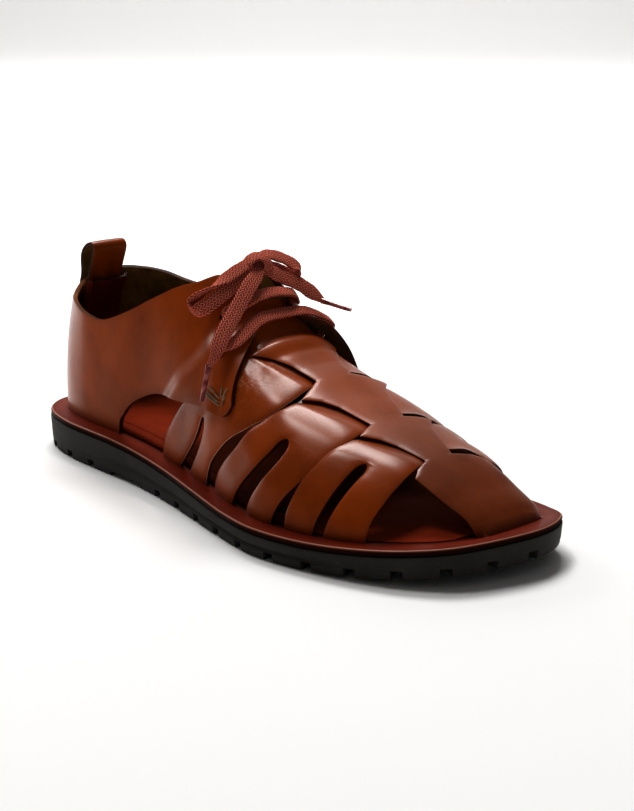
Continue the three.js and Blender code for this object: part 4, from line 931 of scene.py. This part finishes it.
NOTCH_PITCH, NOTCH_START = 19.6, 22
NOTCH_WIDTH, NOTCH_HEIGHT, NOTCH_DEPTH = 5, 3.6, 14
GROOVE_HEIGHT, PAD_HALF_WIDTH, GROOVES_END = 1.8, 12, 236
ARCH_RECESS, ARCH_STEP_MIDDLE, ARCH_STEP_LENGTH = 2, 89.5, 25
INSOLE_INSET, INSOLE_THICKNESS, INSOLE_DOME, INSOLE_TOE_GAP = 11.3, 2.4, 1.2, 4.5
GAP = 0.3


sole_rubber = moulded_rubber("sole_rubber")
footbed_leather = polished_leather("footbed_leather", "#7c2912", "#5a190b", gloss=0.5, coat=0.12, seed=1)
insole_leather = polished_leather("insole_leather", "#963a1a", "#742315", gloss=0.6, coat=0, seed=2,
                                  specular=0.02)
lining_leather = polished_leather("lining_leather", "#74241a", "#47120d", gloss=0.4, coat=0.25, seed=3)
thread = cut_edge("stitch_thread", "#b08c6c", "#3c281a")


def notches(side):
    """Places at an even pitch along the outline, without the arch."""
    x, y = outline(np.linspace(0, 1, 641), side, 0)
    walked = np.r_[0, np.cumsum(np.hypot(np.diff(x), np.diff(y)))]
    found = []
    for at in np.arange(NOTCH_START, walked[-1], NOTCH_PITCH):
        place = [float(np.interp(at, walked, line)) for line in (x, y)]
        ahead = [float(np.interp(at + 0.5, walked, line)) for line in (x, y)]
        if abs(place[0] - ARCH_STEP_MIDDLE) >= ARCH_STEP_LENGTH / 2 + NOTCH_WIDTH:
            found.append((*place, math.atan2(ahead[1] - place[1], ahead[0] - place[0])))
    return found


def block(x, y, turn, length, start, end, height):
    """Eight corners of a cutting block: length along the edge, start and end across it."""
    corners = [(a, b) for a in (-length / 2, length / 2) for b in (start, end)]
    flat = [(x + a * math.cos(turn) - b * math.sin(turn), y + a * math.sin(turn) + b * math.cos(turn))
            for a, b in corners]
    base = float(toe_spring(x))
    return [(px, py, base + z) for z in (-height, height) for px, py in flat]


def sole_cutter(name, blocks):
    points, faces = [], []
    for corners in blocks:
        k = len(points)
        points += corners
        faces += [tuple(k + i for i in face) for face in
                  ((0, 1, 3, 2), (4, 6, 7, 5), (0, 4, 5, 1), (2, 3, 7, 6), (0, 2, 6, 4), (1, 5, 7, 3))]
    made = new_object(name, points, faces, [sole_rubber])
    made.hide_render = True
    return made


def make_sole():
    def top(x):
        return footbed_height(x) - LEATHER_SOLE - GAP

    def between(share, down=0):
        return lambda x: mix(toe_spring(x), top(x), share) - down

    def dent(x):
        return 0.9 * ease(66, 100, x) * (1 - ease(225, 265, x))

    rows = [(1.6, toe_spring, 1), (1.6, toe_spring, 0.5), (1.6, toe_spring, 0),
            (1.15, lambda x: toe_spring(x) + 0.15, 0), (0.95, lambda x: toe_spring(x) + 0.6, 0),
            (0.8, between(0.2), 0)]
    for share in (0.3, 0.38, 0.45, 0.5, 0.55, 0.62, 0.72, 0.82):
        depth = float(hump(0.5, 0.09, share))
        rows.append((lambda x, depth=depth, share=share: 0.8 * (1 - share) + depth * dent(x),
                     between(share), 0))
    rows += [(0.1, between(0.92), 0), (0.15, between(1, 0.25), 0), (0.5, between(1), 0),
             *[(4, between(1), pull) for pull in (0, 0.5, 1)]]
    wide, narrow = [], []
    for side in SIDES:
        for x, y, turn in notches(side):
            wide.append(block(x, y, turn, NOTCH_WIDTH, 2 * side, -NOTCH_DEPTH * side, NOTCH_HEIGHT))
            reach = abs(y) - PAD_HALF_WIDTH
            if x < GROOVES_END and reach > NOTCH_DEPTH:
                narrow.append(block(x, y, turn, NOTCH_WIDTH * 0.8, side, -reach * side, GROOVE_HEIGHT))
    wide.append(block(ARCH_STEP_MIDDLE, 0, 0, ARCH_STEP_LENGTH, -BALL_WIDTH, BALL_WIDTH, ARCH_RECESS))
    cutters = [sole_cutter("notch_cutter", wide), sole_cutter("groove_cutter", narrow)]
    fix(make_layer("outsole_body", rows, sole_rubber, cutters), "sole_rubber", "outsole")

    def under(share):
        return lambda x: footbed_height(x) - LEATHER_SOLE * (1 - share)

    # Per row: inset, share of the leather's height, pull to the middle, fold mark (darkens the side wall, and
    # as painted shade the top toward and under the insole) and rim mark (a painted highlight line along the
    # top corner).
    insets, shares, pulls, folds, painted_rim_highlight = zip(
        (3, 0, 1, 1, 0), (3, 0, 0.5, 1, 0), (1, 0, 0, 1.3, 0), (0.55, 0.05, 0, 1.3, 0),
        (0.35, 0.2, 0, 1.3, 0), (0.25, 0.45, 0, 1.3, 0), (0.25, 0.62, 0, 1.2, 0), (0.4, 0.8, 0, 0.8, 0.1),
        (0.75, 0.93, 0, 0, 0.6), (1.3, 1, 0, 0.4, 0), (2.2, 1, 0, 0.2, 0), (5, 1, 0, 0, 0),
        (8, 1, 0, 0.1, 0), (11, 1, 0, 0.6, 0), (11, 1, 0.5, 1, 0), (11, 1, 1, 1, 0))
    rows = list(zip(insets, map(under, shares), pulls))
    made = make_layer("footbed_layer", rows, footbed_leather, marks={"fold": folds, "rim": painted_rim_highlight})
    fix(made, "footbed_leather", "footbed")

    def pad(rise, soft):
        """Over the footbed; toward the toe the edge slopes gently."""
        return lambda x: footbed_height(x) + GAP + rise * mix(1, soft, ease(205, 240, x))

    rows = [(INSOLE_INSET + inset, pad(rise, soft), pull) for inset, rise, soft, pull in (
        (3, 0, 1, 1), (3, 0, 1, 0), (0.3, 0, 1, 0), (0, 0.4, 0.2, 0), (0, 1.3, 0.1, 0), (0.35, 1.95, 0.12, 0),
        (1, 2.35, 0.18, 0), (2, 2.5, 0.3, 0), (3.8, 2.6, 0.42, 0), (4.2, 2.5, 0.48, 0), (4.45, 2.3, 0.54, 0),
        (4.7, 2.6, 0.5, 0), (5.3, 2.85, 0.5, 0), (6.5, 3, 0.6, 0), (8.5, 3.1, 0.72, 0), (8.5, 3.3, 0.9, 0.35),
        (8.5, 3.5, 1, 0.7), (8.5, 3.6, 1, 1))]
    # The fold mark paints shade over the middle of the pad, under the straps, from x 96 to 236 mm.
    made = make_layer("insole_pad", rows, insole_leather, front=lambda y: toe_front(y, INSOLE_TOE_GAP),
                      marks={"fold": lambda x: 1.15 * ease(96, 122, x) * (1 - ease(212, 236, x))})
    fix(made, "insole_leather", "insole")


make_sole()


# Heel strip and lining
PULL_START, PULL_END = 24, 60
STRIP_GAP, LOOP_WIDTH, LOOP_THICKNESS = 0.4, 17, 2
OUTSIDE, EYE, STRIP_SOFTENING = 0.36, 0.36, 8
LOOP_RISE, LOOP_DEPTH, LOOP_LEAN = 13.4, 10.8, 5.5
LINING_WIDTH, LINING_THICKNESS = 23, 1.4


def heel_point(across, height, lift):
    """A point on the heel's back at a place across it and a height."""
    across, height, lift = np.broadcast_arrays(across, height, lift)
    side = np.where(across < 0, -1, 1)
    up = up_at_height(0 * height, side, height)
    point = over_last(0 * height, side, up, lift)
    radius = np.hypot(point[..., 0] - HEEL_CENTRE, point[..., 1] - heel_middle)
    station = np.arcsin(np.clip(np.abs(across) / radius, 0, 1)) / (math.pi / 2) * HEEL_CENTRE
    return over_last(station, side, up_at_height(station, side, height), lift)


def strip_path(across, v):
    """Up the heel's back, round the eye of the loop, and down inside."""
    top = COLLAR_HEIGHT + GAP
    if v < OUTSIDE:
        return heel_point(across, mix(PULL_START, top, v / OUTSIDE), WALL + STRIP_GAP)
    if v > OUTSIDE + EYE:
        down = (v - OUTSIDE - EYE) / (1 - OUTSIDE - EYE)
        return heel_point(across, mix(top, PULL_END, down), -STRIP_GAP)
    turn = (v - OUTSIDE) / EYE * math.pi
    outer, inner = heel_point(across, top, WALL + STRIP_GAP), heel_point(across, top, -STRIP_GAP)
    point = mix(outer, inner, (1 - math.cos(turn)) / 2)
    bend = max(math.sin(turn), 0)
    point[..., 0] -= math.cos(turn) * bend**0.5 * (LOOP_DEPTH / 2 - LOOP_THICKNESS) - LOOP_LEAN * bend**2
    point[..., 2] += LOOP_RISE * bend**0.75
    point[..., 0] = mix(point[..., 0], point[..., 0].mean(), min(1, 1.6 * bend))
    return point


def make_heel():
    across = np.linspace(-0.5, 0.5, 15) * LOOP_WIDTH
    steps = np.linspace(0, 1, 110)
    line = np.array([strip_path(across, v) for v in steps])
    ahead = np.array([strip_path(across, min(v + 0.004, 1)) - strip_path(across, max(v - 0.004, 0))
                      for v in steps])
    outward = unit(np.cross(ahead, [0, 1, 0]))
    rim = 1 - np.abs(np.linspace(-1, 1, 15))
    face = line + outward * (LOOP_THICKNESS - 0.25 * np.exp(-rim * 12))[None, :, None]
    for _ in range(STRIP_SOFTENING):
        face[1:-1] = (face[:-2] + 2 * face[1:-1] + face[2:]) / 4
    made = leather("heel_strip", face, {"worn": 0.4 * np.exp(-rim * 14)}, thickness=LOOP_THICKNESS - 0.5,
                   even=False, round_edge=0.5)
    fix(made, "upper_leather", "pull_strip")

    start = HEEL_HEIGHT + GAP + INSOLE_THICKNESS + INSOLE_DOME + GAP
    side_places = np.linspace(-0.5, 0.5, 49) * LINING_WIDTH
    heights = np.linspace(start, COLLAR_HEIGHT - 1, 50)
    across, height = np.meshgrid(side_places, heights)
    beside = ease(LOOP_WIDTH / 2 + 0.4, LOOP_WIDTH / 2 + 2.2, np.abs(across))
    bulge = (LOOP_THICKNESS + STRIP_GAP) * ease(PULL_END - 7, PULL_END - 1, height) * (1 - beside)
    inner_face = heel_point(across, height, -GAP - bulge - LINING_THICKNESS)
    worn = 0.6 * ease(0.93, 1, (height - start) / (COLLAR_HEIGHT - 1 - start))
    made = leather("heel_patch", inner_face, {"worn": worn},
                   (lining_leather, lining_leather, upper_edge, rim_burnish_highlight), thickness=LINING_THICKNESS,
                   round_edge=0.3)
    fix(made, "lining_leather", "heel_lining")


make_heel()


# Lace through the eyelets and the stitches at the facings' corners
LACE_ROWS = {
    "lower": (EYELETS[0], [(156.8, -17.5, 82.8), (155.6, -4, 83.6), (156.8, 10, 83)]),
    "upper": (EYELETS[1], [(151, -14.5, 91.4), (151, -5, 92.4), (151.6, 5, 91.2)]),
}
ROW_WIDTH = 6.2


def make_lace_rows():
    for name, ((fold, height), middle) in LACE_ROWS.items():
        clear = (GAP + LACE_THICKNESS / 2 + 0.3) / WALL
        places = [(fold + 0.002, 0, -0.9), (fold - 0.004, 0.005, 0.6), (fold + 0.012, 0.015, 1 + clear),
                  (0.937, 0.05, 1.1 + clear)]
        line, facing = middle, [(0.55, -0.25, 0.9), (0.5, 0, 0.9), (0.5, 0.2, 0.9)]
        for share, up, walls in places[::-1]:
            outer, inner = [[quarter_point(share, side, height + up, wall).ravel() for wall in (walls, 2, 0)]
                            for side in SIDES]
            line = [outer[0], *line, inner[0]]
            facing = [outer[1] - outer[2], *facing, inner[1] - inner[2]]
        for end in (0, -1):
            facing[end] = facing[end] + [-6, 0, 0]
        made, *_ = ribbon(f"lace_row_{name}", line, unit(np.array(facing)), ROW_WIDTH, LACE_THICKNESS,
                          lace_braid, narrow=0.45, start_narrow=0.45)
        fix(made, "lace", f"lace_bar_{name}")


STITCHES = (((0.834, 0.182), (0.88, 0.122)), ((0.906, 0.196), (0.898, 0.128)),
            ((0.95, 0.166), (0.905, 0.112)), ((0.806, 0.124), (0.88, 0.07)),
            ((0.812, 0.146), (0.876, 0.094)), ((0.934, 0.128), (0.9, 0.074)))
STITCH = 0.8


def make_stitches():
    for side in SIDES:
        for number, (start, end) in enumerate(STITCHES):
            steps = np.linspace(0, 1, 7)
            share, v = [mix(a, b, steps) for a, b in zip(start, end)]
            line = quarter_point(share, side, v, 1, 0.55 * np.sin(math.pi * steps) ** 0.5 - 0.1)
            facing = quarter_point(share, side, v, 2) - quarter_point(share, side, v, 1)
            made, *_ = ribbon(f"stitch_{SIDES[side]}_{number}", line, facing, STITCH * 1.1, STITCH * 0.8,
                              thread)
            fix(made, "upper_leather")


make_lace_rows()
make_stitches()
make_bow()


# Floor, backdrop and light
def make_stage():
    """A pale paper floor that runs up behind into a pale backdrop."""
    wide, back, bend = 4000, 2600, 900
    turn = np.linspace(0, math.pi / 2, 20)
    line = [(-3000, 0), *[(back + bend * math.sin(t), bend * (1 - math.cos(t))) for t in turn],
            (back + bend, 5000)]
    away = np.array([-0.7, 0.71])
    beside = np.array([0.71, 0.7])
    points = [[*(away * out + beside * side), up] for out, up in line for side in (-wide, wide)]
    floor = new_object("floor", points, grid_faces(len(line), 2, flip=True),
                       [Finish("floor_paper").surface(colour("#fbfaf9"), 0.8, specular=0.1)])
    shade(floor, 60)
    world = bpy.data.worlds.new("studio")
    scene.world = world
    world.use_nodes = True
    colour_in, strength = world.node_tree.nodes["Background"].inputs[:2]
    colour_in.default_value, strength.default_value = (1, 0.99, 0.98, 1), 0.14


def soft_light(name, place, aim, size, power):
    data = bpy.data.lights.new(name, "AREA")
    data.shape = "RECTANGLE"
    data.size, data.size_y = size
    data.energy = power
    put(name, data, place, aim)


make_stage()
scene.view_settings.view_transform = "Standard"
scene.view_settings.gamma = 0.8
soft_light("key", (-0.95, -0.17, 3), (0.1, 0, 0), (0.8, 0.8), 36)
soft_light("heel side", (-1.3, 0.1, 0.75), (0, 0, 0.04), (0.8, 0.5), 5)
soft_light("behind", (-0.85, 0.75, 1.9), (0.1, 0, 0.05), (0.95, 0.65), 35)
soft_light("backdrop_light", (-1.2, 1.2, 2.2), (-2.6, 2.7, 0.6), (1.6, 1.6), 28)
